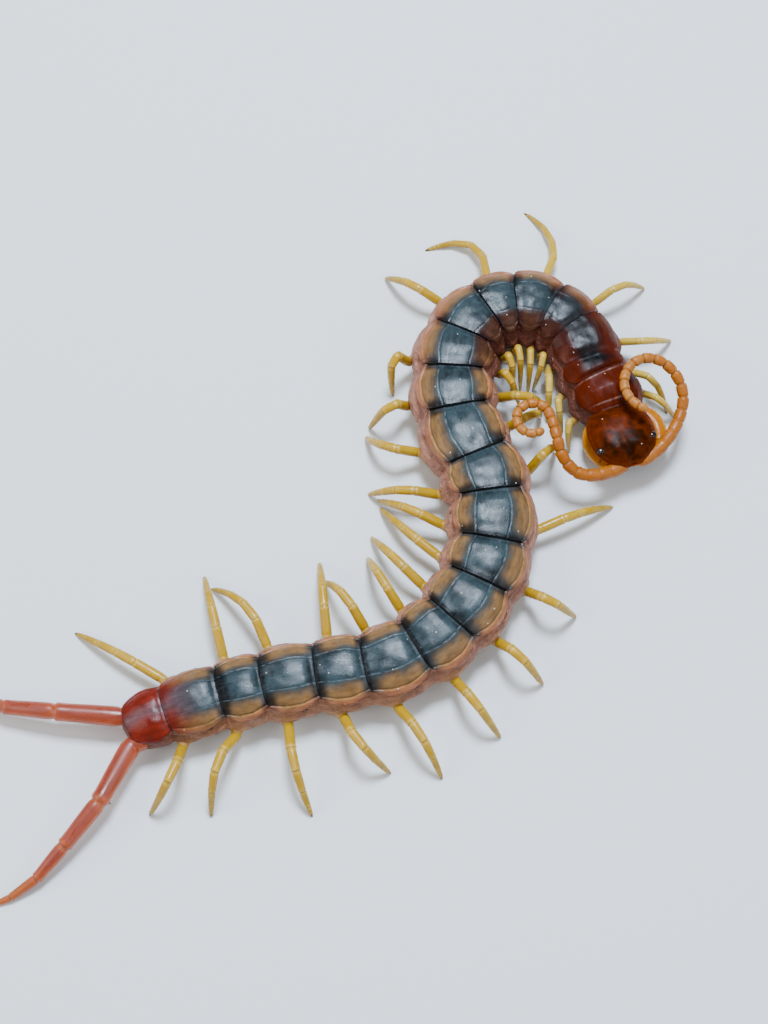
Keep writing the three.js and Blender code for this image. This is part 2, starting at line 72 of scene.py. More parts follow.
starts = [HEAD_LENGTH]
for plate_length, _ in PLATES:
    starts.append(starts[-1] + plate_length)
tail = starts[-1]
widths = [(HEAD_LENGTH, NECK_WIDTH)]
widths += [(start + size[0] / 2, size[1]) for start, size in zip(starts, PLATES)]
widths.append((tail, TAIL_WIDTH))


def mix(a, b, share):
    return a + (b - a) * share


def smooth(t, low=0.0, high=1.0):
    """0 below low, 1 above high, and an even S between."""
    t = min(max((t - low) / (high - low), 0), 1)
    return t * t * (3 - 2 * t)


def ridge(x, middle, width):
    """1 at the middle, falling away to 0 on both sides."""
    return math.exp(-(((x - middle) / width) ** 2))


def along(points, x):
    """Value at x of a line through the points."""
    for (x0, v0), (x1, v1) in zip(points, points[1:]):
        if x <= x1:
            break
    return mix(v0, v1, min(max((x - x0) / (x1 - x0), 0), 1))


def walk(start, heading, arcs, distance):
    """Place and angle at a distance along a chain of arcs, seen from above."""
    x, y = start
    angle = math.radians(heading)
    rest = distance
    for length, turn in arcs:
        step = min(rest, length)
        bend = math.radians(turn) / length
        if abs(bend) < 1e-6:
            x += step * math.cos(angle)
            y += step * math.sin(angle)
        else:
            x += (math.sin(angle + bend * step) - math.sin(angle)) / bend
            y -= (math.cos(angle + bend * step) - math.cos(angle)) / bend
        angle += bend * step
        rest -= step
        if rest <= 0:
            break
    if rest > 0:
        x += rest * math.cos(angle)
        y += rest * math.sin(angle)
    return x, y, angle


@functools.lru_cache(maxsize=None)
def spine(distance):
    """The body's middle line on the floor: its place, the way to the tail and the way to the animal's left."""
    x, y, angle = walk(SPINE_START, SPINE_HEADING, SPINE_ARCS, distance)
    back = Vector((math.cos(angle), math.sin(angle), 0))
    return Vector((x, y, 0)), back, Vector((back.y, -back.x, 0))


def half_width(distance):
    return along(widths, distance) / 2


def body_height(distance):
    return 2 * HEIGHT_TO_WIDTH * half_width(distance)


def segment(distance):
    """The number of the segment at a distance, from 0, and the share of it that is passed."""
    number = 0
    while number < len(PLATES) - 1 and distance > starts[number + 1]:
        number += 1
    return number, (distance - starts[number]) / PLATES[number][0]


def lay_on_body(piece, frame_at=spine):
    """Bends a piece modelled straight, x back from the front of the head, y left and z up, onto the body's line.

    Back, left and up are a left-handed set, so the faces are turned round again."""
    for vertex in piece.data.vertices:
        x, y, z = vertex.co
        at, back, left = frame_at(x)
        vertex.co = (at + left * y + UP * z) * MM
    piece.data.flip_normals()


def keep_values(piece, name, values):
    """Keeps one vector or colour for each vertex, which the piece's material reads."""
    kind, field = ("FLOAT_COLOR", "color") if len(values[0]) == 4 else ("FLOAT_VECTOR", "vector")
    layer = piece.data.attributes.new(name, kind, "POINT")
    layer.data.foreach_set(field, [number for value in values for number in value])


def colour(code):
    """Linear colour of an sRGB hex value."""
    parts = [int(code[i:i + 2], 16) / 255 for i in (1, 3, 5)]
    return [p / 12.92 if p <= 0.04045 else ((p + 0.055) / 1.055) ** 2.4 for p in parts] + [1.0]


def blend_colours(a, b, share):
    return [mix(p, q, share) for p, q in zip(a, b)]


def start_piece(name):
    """Names the object that was just added, which is all that is selected."""
    piece = bpy.context.active_object
    piece.name = name
    piece.data.name = name
    return piece


def start_edit(piece, select="NONE"):
    bpy.ops.object.select_all(action="DESELECT")
    bpy.context.view_layer.objects.active = piece
    piece.select_set(True)
    bpy.ops.object.mode_set(mode="EDIT")
    bpy.ops.mesh.select_all(action="SELECT" if select == "ALL" else "DESELECT")


def close_seams(piece, distance=1e-7):
    """Joins what meets, and turns all faces outwards."""
    start_edit(piece, "ALL")
    bpy.ops.mesh.remove_doubles(threshold=distance)
    bpy.ops.mesh.normals_make_consistent(inside=False)
    bpy.ops.object.mode_set(mode="OBJECT")


def dress(piece, material, nodes=()):
    """Smooths a finished piece, gives it its material and fixes it to the body."""
    piece.data.materials.clear()
    piece.data.materials.append(material)
    piece.data.polygons.foreach_set("use_smooth", [True] * len(piece.data.polygons))
    piece.data.update()
    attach(piece, "root")
    if nodes:
        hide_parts(*nodes)


def new_material(name):
    material = bpy.data.materials.new(name)
    material.use_nodes = True
    material.node_tree.nodes.clear()
    return material


def add_node(material, kind, settings=(), links=()):
    """One node of a material, with its settings and the sockets that feed it. Stops are a colour ramp's."""
    node = material.node_tree.nodes.new(kind)
    for name, value in dict(settings).items():
        if name == "stops":
            ramp = node.color_ramp
            ramp.elements[0].position = value[0][0]
            ramp.elements[1].position = value[-1][0]
            for place, _ in value[1:-1]:
                ramp.elements.new(place)
            for element, (_, code) in zip(ramp.elements, value):
                element.color = colour(code)
        elif isinstance(name, int) or name in node.inputs:
            node.inputs[name].default_value = value
        else:
            setattr(node, name, value)
    for name, socket in dict(links).items():
        material.node_tree.links.new(socket, node.inputs[name])
    return node


def catmull(points, t):
    """Point at t on a smooth closed curve through the points; t counts points."""
    i = math.floor(t)
    f = t - i
    p0, p1, p2, p3 = (points[(i + k) % len(points)] for k in (-1, 0, 1, 2))
    return [
        0.5 * (2 * b + (c - a) * f + (2 * a - 5 * b + 4 * c - d) * f * f + (3 * b - a - 3 * c + d) * f ** 3)
        for a, b, c, d in zip(p0, p1, p2, p3)
    ]


skin_loop = list(SKIN_SECTION) + [(-u, v) for u, v in reversed(SKIN_SECTION[1:-1])]


@functools.lru_cache(maxsize=None)
def skin_section(turn):
    return catmull(skin_loop, turn * len(skin_loop))


def hip_place(pair):
    """Distance of a pair's hips from the front of the head, and their height above the floor."""
    distance = starts[pair] + along(LEG_PLACES, pair) * PLATES[pair][0]
    return distance, BELLY + LEG_ROOT_HEIGHT * body_height(distance)


def skin_point(distance, turn):
    """Place on the skin of the straight body; turn goes once round from the middle of the back over the left."""
    u, v = skin_section(turn)
    half = half_width(distance)
    height = body_height(distance)
    number, t = segment(distance)
    flank = smooth(abs(u), 0.70, 0.86) * smooth(v, 0.02, 0.14) * (1 - smooth(v, 0.66, 0.74))
    swell = math.sin(math.pi * min(max(t, 0), 1)) ** 0.55
    out = mix(0.86, 1.0, swell) if flank > 0 else 0.94
    grow = mix(0.93, out, flank)
    across = u * half * grow
    up = v * height
    if v < 0.2:
        up += 0.16 * (1 - swell) * (1 - flank)
    if v > 0.7:
        # the hide dips under the plates where they overlap
        up -= BACK_DIP * (1 - swell) * smooth(v, 0.70, 0.85)
    side = 1 if across > 0 else -1
    if flank > 0:
        # folds that run along the body, and a crease under the edge of each plate
        wave = noise.noise(Vector((distance * 0.45, up * 2.1, side * 9.0)))
        fine = noise.noise(Vector((distance * 1.6, up * 3.6, side * 5.0 + 3.0)))
        across += side * flank * (FOLD_DEPTH * wave + 0.055 * fine - 0.10 * ridge(v, 0.55, 0.035))
        for pair in (number - 1, number, number + 1):
            if 0 <= pair < 20:
                hip_distance, hip_height = hip_place(pair)
                reach = math.hypot(distance - hip_distance, (BELLY + up - hip_height) * 1.15)
                across += side * HIP_SWELL * ridge(reach, 0, HIP_ROUND) * flank
    return across, BELLY + up


bpy.ops.object.select_all(action="DESELECT")
bpy.ops.mesh.primitive_grid_add(x_subdivisions=SKIN_RINGS, y_subdivisions=SKIN_ROUND, size=1)
hide = start_piece("hide")
skin_front = HEAD_LENGTH - SKIN_ENDS[0]
skin_back = tail + SKIN_ENDS[1]
for vertex in hide.data.vertices:
    share = vertex.co.x + 0.5
    distance = mix(skin_front, skin_back, share)
    across, up = skin_point(distance, round(vertex.co.y + 0.5, 6) % 1)
    shrink = min(1, (max(0, distance - skin_front) / 1.2) ** 0.5, (max(0, skin_back - distance) / 0.9) ** 0.5)
    middle = BELLY + 0.45 * body_height(distance)
    vertex.co = (distance, across * shrink, mix(middle, up, shrink))
close_seams(hide, 1e-4)


def body_redness(distance):
    """1 at the head and at the tail, where the animal is red, and 0 in its grey middle."""
    return max(1 - smooth(distance, 15.0, 25.0), smooth(distance, tail - 9.5, tail - 2.5))


HIDE_MIDDLE = colour("#a3705c")
HIDE_MOTTLE_AND_CREASE_SHADE = colour("#7a4432")
HIDE_RED = colour("#521203")
HIDE_UNDER = colour("#b98a58")
HIDE_OCHRE = colour("#946238")
HIP_OCHRE = colour("#b5822f")


def hide_colour(vertex):
    distance, across, height = vertex.co
    number, t = segment(distance)
    red = body_redness(distance) * (1 if distance < 40 else 0.8)
    # painted shade: the hide on the inside of the hook is painted the same dark red
    red = max(red, smooth(-across, 0.5, 2.0) * smooth(distance, 12.0, 15.0) * (1 - smooth(distance, 33.0, 39.0)))
    shade = 0.5 + 0.5 * noise.noise(Vector((distance * 0.9, height * 2.5, across * 0.5)))
    shade += 0.5 * noise.noise(Vector((distance * 4.0, height * 5.0, across * 0.7)))
    # a random darker mottle, and painted shade in the crease at each segment's border
    tone = blend_colours(HIDE_MIDDLE, HIDE_MOTTLE_AND_CREASE_SHADE, 0.55 * shade + 0.3 * ridge(t % 1, 0, 0.12))
    tone = blend_colours(tone, HIDE_OCHRE, 0.5 * smooth(-across, 0.5, 2.5) * smooth(distance, 62, 76))
    tone = blend_colours(tone, HIDE_UNDER, 1 - smooth(height, 1.2, 2.0))
    for pair in (number - 1, number, number + 1):
        if 0 <= pair < 20:
            hip_distance, hip_height = hip_place(pair)
            reach = math.hypot(distance - hip_distance, height - hip_height)
            tone = blend_colours(tone, HIP_OCHRE, 0.75 * ridge(reach, 0, 1.0))
    return blend_colours(tone, HIDE_RED, 0.85 * min(1, red))


keep_values(hide, "coat", [hide_colour(vertex) for vertex in hide.data.vertices])
keep_values(hide, "straight", [tuple(vertex.co) for vertex in hide.data.vertices])
lay_on_body(hide)
close_seams(hide)


def flesh_and_horn(name, roughness, grain, depth, speck, subsurface, shine, uneven, stretch=(1, 1, 1)):
    """Horn-like skin: its painted colour, a fine mottle and grain in the body's own directions, and pale specks.

    grain is the size of the fine relief in mm and depth its height; speck is the share of dust-like dots; shine is
    the strength of its reflections, low where flesh lies right under the surface; uneven is the mottle's strength."""
    material = new_material(name)
    paint = add_node(material, "ShaderNodeAttribute", {"attribute_name": "coat"})
    place = add_node(material, "ShaderNodeAttribute", {"attribute_name": "straight"})
    drawn = add_node(material, "ShaderNodeVectorMath", {"operation": "MULTIPLY", 1: stretch},
                     {0: place.outputs["Vector"]})
    mottle = add_node(material, "ShaderNodeTexNoise", {"Scale": 1.3, "Detail": 6.0, "Roughness": 0.62},
                      {"Vector": drawn.outputs[0]})
    relief = add_node(material, "ShaderNodeTexNoise", {"Scale": 1 / grain, "Detail": 5.0, "Roughness": 0.6},
                      {"Vector": drawn.outputs[0]})
    dots = add_node(material, "ShaderNodeTexVoronoi", {"Scale": 1.5}, {"Vector": place.outputs["Vector"]})
    near = add_node(material, "ShaderNodeMapRange", {"From Min": 0.10, "From Max": 0.055},
                    {"Value": dots.outputs["Distance"]})
    parted = add_node(material, "ShaderNodeSeparateColor", links={"Color": dots.outputs["Color"]})
    few = add_node(material, "ShaderNodeMath", {"operation": "LESS_THAN", 1: speck}, {0: parted.outputs["Red"]})
    dust = add_node(material, "ShaderNodeMath", {"operation": "MULTIPLY"},
                    {0: near.outputs["Result"], 1: few.outputs[0]})
    light = add_node(material, "ShaderNodeMapRange",
                     {"From Min": 0.3, "From Max": 0.7, "To Min": 1 - uneven, "To Max": 1 + uneven},
                     {"Value": mottle.outputs["Fac"]})
    varied = add_node(material, "ShaderNodeVectorMath", {"operation": "SCALE"},
                      {0: paint.outputs["Color"], "Scale": light.outputs["Result"]})
    dusted = add_node(material, "ShaderNodeMix", {"data_type": "RGBA", 7: colour("#e6dccb")},
                      {0: dust.outputs[0], 6: varied.outputs[0]})
    worn = add_node(material, "ShaderNodeTexNoise", {"Scale": 0.9, "Detail": 8.0, "Roughness": 0.7, "Distortion": 0.4},
                    {"Vector": drawn.outputs[0]})
    gloss = add_node(material, "ShaderNodeMapRange",
                     {"From Min": 0.36, "From Max": 0.64, "To Min": roughness * 0.65, "To Max": roughness * 1.6},
                     {"Value": worn.outputs["Fac"]})
    bump = add_node(material, "ShaderNodeBump", {"Strength": 1.0, "Distance": depth * MM},
                    {"Height": relief.outputs["Fac"]})
    shader = add_node(material, "ShaderNodeBsdfPrincipled",
                      {"IOR": 1.54, "Subsurface Weight": subsurface, "Subsurface Radius": (1.0, 0.45, 0.2),
                       "Subsurface Scale": 0.9 * MM, "Specular IOR Level": shine},
                      {"Base Color": dusted.outputs[2], "Roughness": gloss.outputs["Result"],
                       "Normal": bump.outputs["Normal"]})
    add_node(material, "ShaderNodeOutputMaterial", links={"Surface": shader.outputs["BSDF"]})
    return material


# Leathery, living skin: matt and granular, a little see-through, so light softens its folds
hide_leather = flesh_and_horn("leathery_hide", 0.40, 0.28, 0.34, 0.10, 0.20, 0.45, 0.42)
dress(hide, hide_leather, [f"trunk_{number}" for number in range(1, 8)])

# Back plates. 21 hard, glossy plates of horn-like skin, each with its hind lip over the front of the next one,
# two fine lengthwise grooves, and a raised rim along each side. They are grown on the hide.
PLATE_EDGE = 0.87              # share of the half width
PLATE_LEAN = 0.06              # this much more on the right from the hook on, where the body rolls over a little
PLATE_PIVOT = 0.3
PLATE_THICK = 0.12
PLATE_CUSHION = 0.24           # how much higher a plate is in its middle than at its borders
PLATE_COLUMNS = 92
PLATE_ROWS = 34
GROOVE = 0.43                  # share of the plate's half width
RIM = 0.90
STEEL = colour("#2c3a3e")
STEEL_MOTTLE_AND_SHADE = colour("#090e11")
PALE_STEEL_AND_HIGHLIGHT = colour("#7c8c96")
TAN = colour("#7a5934")
TAN_EDGE = colour("#9a5f40")
RIM_LINE = colour("#e6a458")
HEAD_DARK = colour("#120b0d")
HEAD_RED = colour("#481200")
TAIL_RED = colour("#66190c")
TAIL_GREY = colour("#5a4044")
HOOK_SHADE_RED = colour("#2e0e0a")
INK_AND_SHADOW = colour("#07080b")
LIP_HIGHLIGHT = colour("#c9a598")


def plate_height(distance, u, v):
    """Height of a back plate at a share u of the half width and a share v of its own length."""
    dome = 1 - 0.25 * (abs(u) / PLATE_EDGE) ** 3
    tuck = mix(0.925, 1.0, smooth(v, -0.10, 0.28)) + 0.012 * smooth(v, 0.80, 0.98)
    return BELLY + (PLATE_PIVOT + (dome - PLATE_PIVOT) * tuck) * body_height(distance)


def back_plate(number):
    """One back plate, modelled straight as a sheet, then thickened and laid on the body."""
    length = PLATES[number][0]
    rim = smooth(number, 2, 6) * (1 - 0.6 * smooth(number, 18, 20))
    grooves = smooth(number, 1, 4) * (1 - smooth(number, 18.5, 19.5))
    bpy.ops.object.select_all(action="DESELECT")
    bpy.ops.mesh.primitive_grid_add(x_subdivisions=PLATE_ROWS, y_subdivisions=PLATE_COLUMNS, size=1)
    piece = start_piece(f"back_plate_{number + 1:02d}")
    coat = []
    for vertex in piece.data.vertices:
        v = mix(-0.09, 1.0, vertex.co.x + 0.5)
        u = 2 * vertex.co.y
        edge = abs(u)
        corner = edge ** 7
        v = mix(v, mix(0.12, 0.90, v), corner) + 0.030 * (1 - u * u) * smooth(v, 0.6, 1)
        distance = starts[number] + v * length
        side = mix(0.80, 1.0, smooth(v, -0.1, 0.40)) - 0.12 * smooth(v, 0.60, 1.0)
        share = u * (PLATE_EDGE + PLATE_LEAN * smooth(number, 8, 12) * smooth(-u, 0.0, 0.3)) * side
        height = plate_height(distance, share, v)
        height -= grooves * 0.022 * ridge(abs(u), GROOVE, 0.016)
        height -= rim * 0.09 * ridge(abs(u), RIM - 0.035, 0.022)
        height += rim * 0.075 * ridge(abs(u), RIM + 0.03, 0.035)
        height -= (0.10 if number < 2 else 0.04) * ridge(v, 0.09, 0.025) * (1 - smooth(abs(u), 0.7, 0.9))
        height += PLATE_CUSHION * (math.sin(math.pi * min(max(v, 0), 1)) - 0.35) * (1 - edge ** 4) * min(1, length / 4)
        height += 0.05 * noise.noise(Vector((distance * 0.8, u * 3.2, number)))
        vertex.co = (distance, share * half_width(distance), height)
        coat.append(plate_colour(number, u, v))
    keep_values(piece, "coat", coat)
    sheet = piece.modifiers.new("thickness", "SOLIDIFY")
    sheet.thickness = PLATE_THICK
    sheet.offset = -1
    bpy.ops.object.modifier_apply(modifier="thickness")
    keep_values(piece, "straight", [tuple(vertex.co) for vertex in piece.data.vertices])
    lay_on_body(piece)
    return piece


def plate_colour(number, u, v):
    """Painted colour of a back plate: grey in the middle, tan at the sides, with a black hind edge that is partly
    pigment and partly painted shadow, painted shade at its borders and painted highlights on its grooves.
    """
    distance = starts[number] + v * PLATES[number][0]
    blotch = noise.noise(Vector((distance * 0.55, u * 1.7, 3.0)))
    fine = noise.noise(Vector((distance * 2.2, u * 7.0, 8.0)))
    edge = abs(u)
    side = smooth(edge + 0.06 * blotch + 0.02 * fine, 0.41, 0.75)
    # painted shade darkens the front and hind borders of each plate, most towards its sides; the rest of the dark is
    # random mottle
    border_shade = max(smooth(v + 0.05 * blotch, 0.70, 0.92), 1 - smooth(v - 0.04 * blotch, 0.04, 0.20))
    dark = 0.14 + 0.75 * blotch + 0.30 * fine + 0.80 * border_shade * (0.55 + 0.45 * smooth(edge, 0.3, 0.7))
    tone = blend_colours(STEEL, STEEL_MOTTLE_AND_SHADE, min(1, max(0, dark)))
    tan = side * (1 - 0.92 * border_shade) * (0.92 + 0.22 * fine)
    tone = blend_colours(tone, TAN, min(1, max(0, tan)))
    grooves = smooth(number, 1, 4) * (1 - smooth(number, 18.5, 19.5))
    # painted highlight along the two lengthwise grooves
    tone = blend_colours(tone, PALE_STEEL_AND_HIGHLIGHT, grooves * (0.32 + fine) * ridge(edge, GROOVE + 0.012, 0.010))
    front = 1 - smooth(distance, 14.0, 24.0)
    back = smooth(distance, tail - 8.6, tail - 3.0)
    if front > 0:
        crown = max(1 - 0.9 * smooth(edge + 0.2 * blotch, 0.25, 0.75), 0) * smooth(distance, 10.2, 12.0)
        tone = blend_colours(tone, blend_colours(HEAD_RED, INK_AND_SHADOW if number == 1 else HEAD_DARK, crown), front)
    if back > 0:
        red = blend_colours(TAIL_GREY, TAIL_RED, smooth(edge + 0.15 * blotch + 0.6 * (back - 0.45), 0.2, 0.8))
        tone = blend_colours(tone, red, back)
    # painted shade: the side towards the inside of the hook is pressed together there, and its shade is painted dark
    # red
    inner = smooth(-u, 0.30, 0.62) * smooth(distance, 13.0, 16.0) * (1 - smooth(distance, 33.0, 39.0))
    tone = blend_colours(tone, HOOK_SHADE_RED, 0.85 * inner)
    rim = smooth(number, 5, 9) * (1 - smooth(number, 18, 20)) * (1 - inner)
    outside = smooth(number, 2, 4) * (1 - smooth(number, 18, 20)) * (1 - inner)
    hooked = 1 - smooth(number, 6, 9)
    margin = smooth(edge + 0.08 * blotch, RIM - 0.02 - 0.30 * hooked, RIM + 0.05)
    tone = blend_colours(tone, TAN_EDGE, outside * 0.85 * margin * (1 - mix(0.6, 0.4, hooked) * border_shade))
    stroke = smooth(v, 0.08, 0.22) * (1 - smooth(v, 0.80, 0.92))
    tone = blend_colours(tone, STEEL_MOTTLE_AND_SHADE, rim * 0.5 * ridge(edge, RIM - 0.050, 0.016) * stroke)
    tone = blend_colours(tone, RIM_LINE, rim * (0.65 + 0.8 * fine) * ridge(edge, RIM - 0.022, 0.009) * stroke)
    tone = blend_colours(tone, PALE_STEEL_AND_HIGHLIGHT, 0.2 * (1 - front) * ridge(v, 0.055, 0.016) * (1 - smooth(edge, 0.55, 0.85)))
    if number == 0:
        # painted highlights: two thin pale lines across the first plate, on its front groove and on its hind lip
        lines = 0.30 * ridge(v, 0.14, 0.012) + 0.55 * ridge(v, 0.935, 0.016)
        tone = blend_colours(tone, LIP_HIGHLIGHT, lines * (1 - edge ** 2) * (0.8 + fine))
    # the black hind edge: dark pigment, and painted shadow in the gap to the next plate
    hind_ink_and_shadow = smooth(v + 0.015 * fine, 0.93, 0.975) * (1 - 0.5 * smooth(edge, 0.75, 1.0))
    tone = blend_colours(tone, INK_AND_SHADOW, 0.9 * hind_ink_and_shadow * (1 - 0.6 * front) * (1 - 0.7 * back))
    # painted shadow on the front edge, under the lip of the plate before
    return blend_colours(tone, INK_AND_SHADOW, 0.5 * (1 - smooth(v, -0.02, 0.05)) * (1 - 0.5 * front))


# Hard horn-like plate, polished by wear: a sharp gloss broken by fine cross scratches and pale dust specks
plate_horn = flesh_and_horn("polished_plate_horn", 0.22, 0.12, 0.014, 0.22, 0.03, 0.15, 0.34, (0.6, 1.7, 1))
# The same horn, thinner and clearer over the red flesh behind the head
amber_plate_horn = flesh_and_horn("amber_plate_horn", 0.28, 0.12, 0.010, 0.22, 0.10, 0.06, 0.30, (0.6, 1.7, 1))
for number in range(len(PLATES)):
    dress(back_plate(number), amber_plate_horn if number < 2 else plate_horn)

# Belly plates. 21 flatter plates under the body, paler and thinner than the back plates, each with two grooves.
BELLY_EDGE = 0.70
BELLY_COLUMNS = 40
BELLY_ROWS = 22
BELLY_PALE = colour("#c0904c")
BELLY_RED = colour("#93482a")


def belly_plate(number):
    """One belly plate, modelled straight as a sheet, then thickened and laid under the body."""
    length = PLATES[number][0]
    bpy.ops.object.select_all(action="DESELECT")
    bpy.ops.mesh.primitive_grid_add(x_subdivisions=BELLY_ROWS, y_subdivisions=BELLY_COLUMNS, size=1)
    piece = start_piece(f"belly_plate_{number + 1:02d}")
    coat = []
    for vertex in piece.data.vertices:
        v = mix(0.03, 0.97, vertex.co.x + 0.5)
        u = 2 * vertex.co.y
        v = mix(v, mix(0.14, 0.86, v), abs(u) ** 5)
        distance = starts[number] + v * length
        share = u * BELLY_EDGE * mix(1, 0.93, smooth(abs(v - 0.5), 0.2, 0.5))
        height = BELLY + 0.10 * smooth(abs(u), 0.5, 1.0) * half_width(distance)
        height += 0.06 * ridge(abs(u), 0.42, 0.035) + 0.12 * smooth(abs(v - 0.5), 0.36, 0.5)
        blotch = 0.5 + 0.5 * noise.noise(Vector((distance * 0.7, u * 2.2, 6.0)))
        tone = blend_colours(BELLY_PALE, colour("#9c7747"), 0.6 * blotch)
        # painted shade: darker lines along the two grooves
        tone = blend_colours(tone, colour("#6b4a26"), 0.55 * ridge(abs(u), 0.42, 0.02))
        coat.append(blend_colours(tone, BELLY_RED, 0.8 * body_redness(distance)))
        vertex.co = (distance, share * half_width(distance), height)
    keep_values(piece, "coat", coat)
    sheet = piece.modifiers.new("thickness", "SOLIDIFY")
    sheet.thickness = 0.12
    sheet.offset = -1
    bpy.ops.object.modifier_apply(modifier="thickness")
    keep_values(piece, "straight", [tuple(vertex.co) for vertex in piece.data.vertices])
    lay_on_body(piece)
    return piece


# Thin belly horn: yellowish, satin, lets a little light in
belly_horn = flesh_and_horn("thin_belly_horn", 0.32, 0.14, 0.012, 0.05, 0.25, 0.4, 0.2)
for number in range(len(PLATES)):
    dress(belly_plate(number), belly_horn)

# Breathing holes. Nine pairs of slit-like openings in the hide above the hips, each in a raised, dark horn ring.
HOLE_SEGMENTS = (3, 5, 8, 10, 12, 14, 16, 18, 20)
HOLE_SIZE = (0.30, 0.17)       # half length and half height of the ring


def breathing_hole(number, side):
    """One ring with its slit, modelled flat at its place on the straight flank."""
    distance = starts[number - 1] + 0.30 * PLATES[number - 1][0]
    turn = 0.245 if side > 0 else 0.755
    across, up = skin_point(distance, turn)
    bpy.ops.object.select_all(action="DESELECT")
    bpy.ops.mesh.primitive_circle_add(vertices=20, radius=1, fill_type="NGON")
    piece = start_piece("hole")
    start_edit(piece, "ALL")
    for rise, scale in ((0.10, 0.90), (0.03, 0.80), (-0.05, 0.75), (-0.14, 0.70)):
        bpy.ops.mesh.extrude_region_move(TRANSFORM_OT_translate={"value": (0, 0, rise)})
        bpy.ops.transform.resize(value=(scale, scale, 1), center_override=(0, 0, 0))
    bpy.ops.object.mode_set(mode="OBJECT")
    coat = []
    for vertex in piece.data.vertices:
        x, y, z = vertex.co
        # painted shade: the sunken opening in the middle of the ring is painted near black
        coat.append(blend_colours(colour("#6f3f26"), colour("#0d0806"), 1 - smooth(math.hypot(x, y), 0.42, 0.62)))
        vertex.co = (distance + x * HOLE_SIZE[0], across + side * (z - 0.02), up + y * HOLE_SIZE[1])
    keep_values(piece, "coat", coat)
    keep_values(piece, "straight", [tuple(vertex.co) for vertex in piece.data.vertices])
    lay_on_body(piece)
    close_seams(piece)
    return piece


def join_pieces(name, parts):
    bpy.ops.object.select_all(action="DESELECT")
    for part in parts:
        part.select_set(True)
    bpy.context.view_layer.objects.active = parts[0]
    bpy.ops.object.join()
    return start_piece(name)


# Hard dark horn: glossy where it is worn, with almost no light let in
dark_horn = flesh_and_horn("dark_horn", 0.25, 0.10, 0.006, 0.0, 0.05, 0.4, 0.2)
holes = join_pieces("breathing_holes", [breathing_hole(n, side) for n in HOLE_SEGMENTS for side in (1, -1)])
dress(holes, dark_horn)

# Walking legs. Twenty pairs, each a row of thin-walled horn tubes joined by soft rings, from the hip sunk in the
# flank to a dark claw. They are one shape, modelled once and laid along each leg's own arch down to the floor.
GAP = 0.3
LEG_ROOT_SIDE = 0.72
STUB_OUT = 0.3
STUB_SWING = 0.7
STUB_SWING_MOST = 34
LEG_JOINTS = (0, 0.29, 0.50, 0.70, 0.87, 0.955, 1)
LEG_RADII = (0.53, 0.50, 0.45, 0.37, 0.28, 0.19)
LEG_LENGTHS = ((0, 6.5), (5, 10.2), (6, 9.0), (10, 9.2), (14, 10.0), (19, 11.4))
LEG_SCALES = ((0, 0.75), (4, 0.88), (7, 1.0))
LEG_SIDES = 20
KNEE_ROUND = 0.022             # share of the leg over which a knee turns
LEGS = {                       # each foot: swing towards the head from straight out, reach, bow towards the head
    1: (
        (45, 5.5, 0.5), (60, 7.0, -0.5), (5, 7.5, 1.0), (18, 8.3, 0.0), (-28, 11.5, 2.0),
        (-40, 10.0, 3.0), (-8, 9.0, -0.5), (-58, 5.0, 1.0), (-15, 6.0, -0.5), (45, 8.0, -1.5),
        (22, 9.0, -0.5), (25, 9.5, -0.5), (25, 10.5, -0.5), (12, 10.0, -0.5), (8, 9.0, -0.5),
        (-17, 9.0, 0.0), (2, 10.5, 0.0), (-28, 11.0, 1.0), (0, 11.5, 0.0), (-40, 12.5, 0.0),
    ),
    -1: (
        (50, 4.0, -0.5), (60, 4.5, -0.5), (62, 6.5, 0.0), (25, 4.5, 0.5), (14, 5.5, 0.0),
        (-3, 5.2, 0.0), (-22, 4.6, 0.2), (-33, 5.0, -0.4), (0, 6.5, -1.0), (12, 6.0, -1.0),
        (28, 6.0, -0.5), (25, 10.5, 0.0), (0, 7.0, -1.0), (-2, 7.5, -0.5), (4, 8.5, -0.5),
        (14, 9.5, 0.0), (32, 8.5, -1.0), (4, 10.5, -0.5), (-30, 9.5, -0.5), (-42, 8.5, 1.0),
    ),
}
SIDES = {1: "left", -1: "right"}


def drawn_tube(name, sides, stations):
    """A straight closed tube along +X, drawn out ring by ring from a circle; a station is a place and a radius."""
    bpy.ops.object.select_all(action="DESELECT")
    bpy.ops.mesh.primitive_circle_add(vertices=sides, radius=stations[0][1], fill_type="NGON",
                                      location=(stations[0][0], 0, 0), rotation=(0, math.pi / 2, 0))
    bpy.ops.object.transform_apply(location=True, rotation=True, scale=True)
    piece = start_piece(name)
    start_edit(piece, "ALL")
    for (x0, r0), (x1, r1) in zip(stations, stations[1:]):
        bpy.ops.mesh.extrude_region_move(TRANSFORM_OT_translate={"value": (x1 - x0, 0, 0)})
        bpy.ops.transform.resize(value=(1, r1 / r0, r1 / r0), center_override=(x1, 0, 0))
    bpy.ops.object.mode_set(mode="OBJECT")
    close_seams(piece, 1e-5)
    return piece


def copied(master, name):
    piece = master.copy()
    piece.data = master.data.copy()
    piece.name = name
    piece.data.name = name
    bpy.context.collection.objects.link(piece)
    return piece


def lay_on_line(piece, line_at, level, thickness=1.0):
    """Lays a straight tube along a line; line_at gives the place and way at a share x, level its sideways way."""
    for vertex in piece.data.vertices:
        x, y, z = vertex.co
        at, ahead = line_at(x)
        across = (level - ahead * level.dot(ahead)).normalized()
        over = ahead.cross(across)
        place = at + across * (y * thickness) + over * (z * thickness)
        vertex.co = Vector((place.x, place.y, max(place.z, 0))) * MM
    piece.data.update()


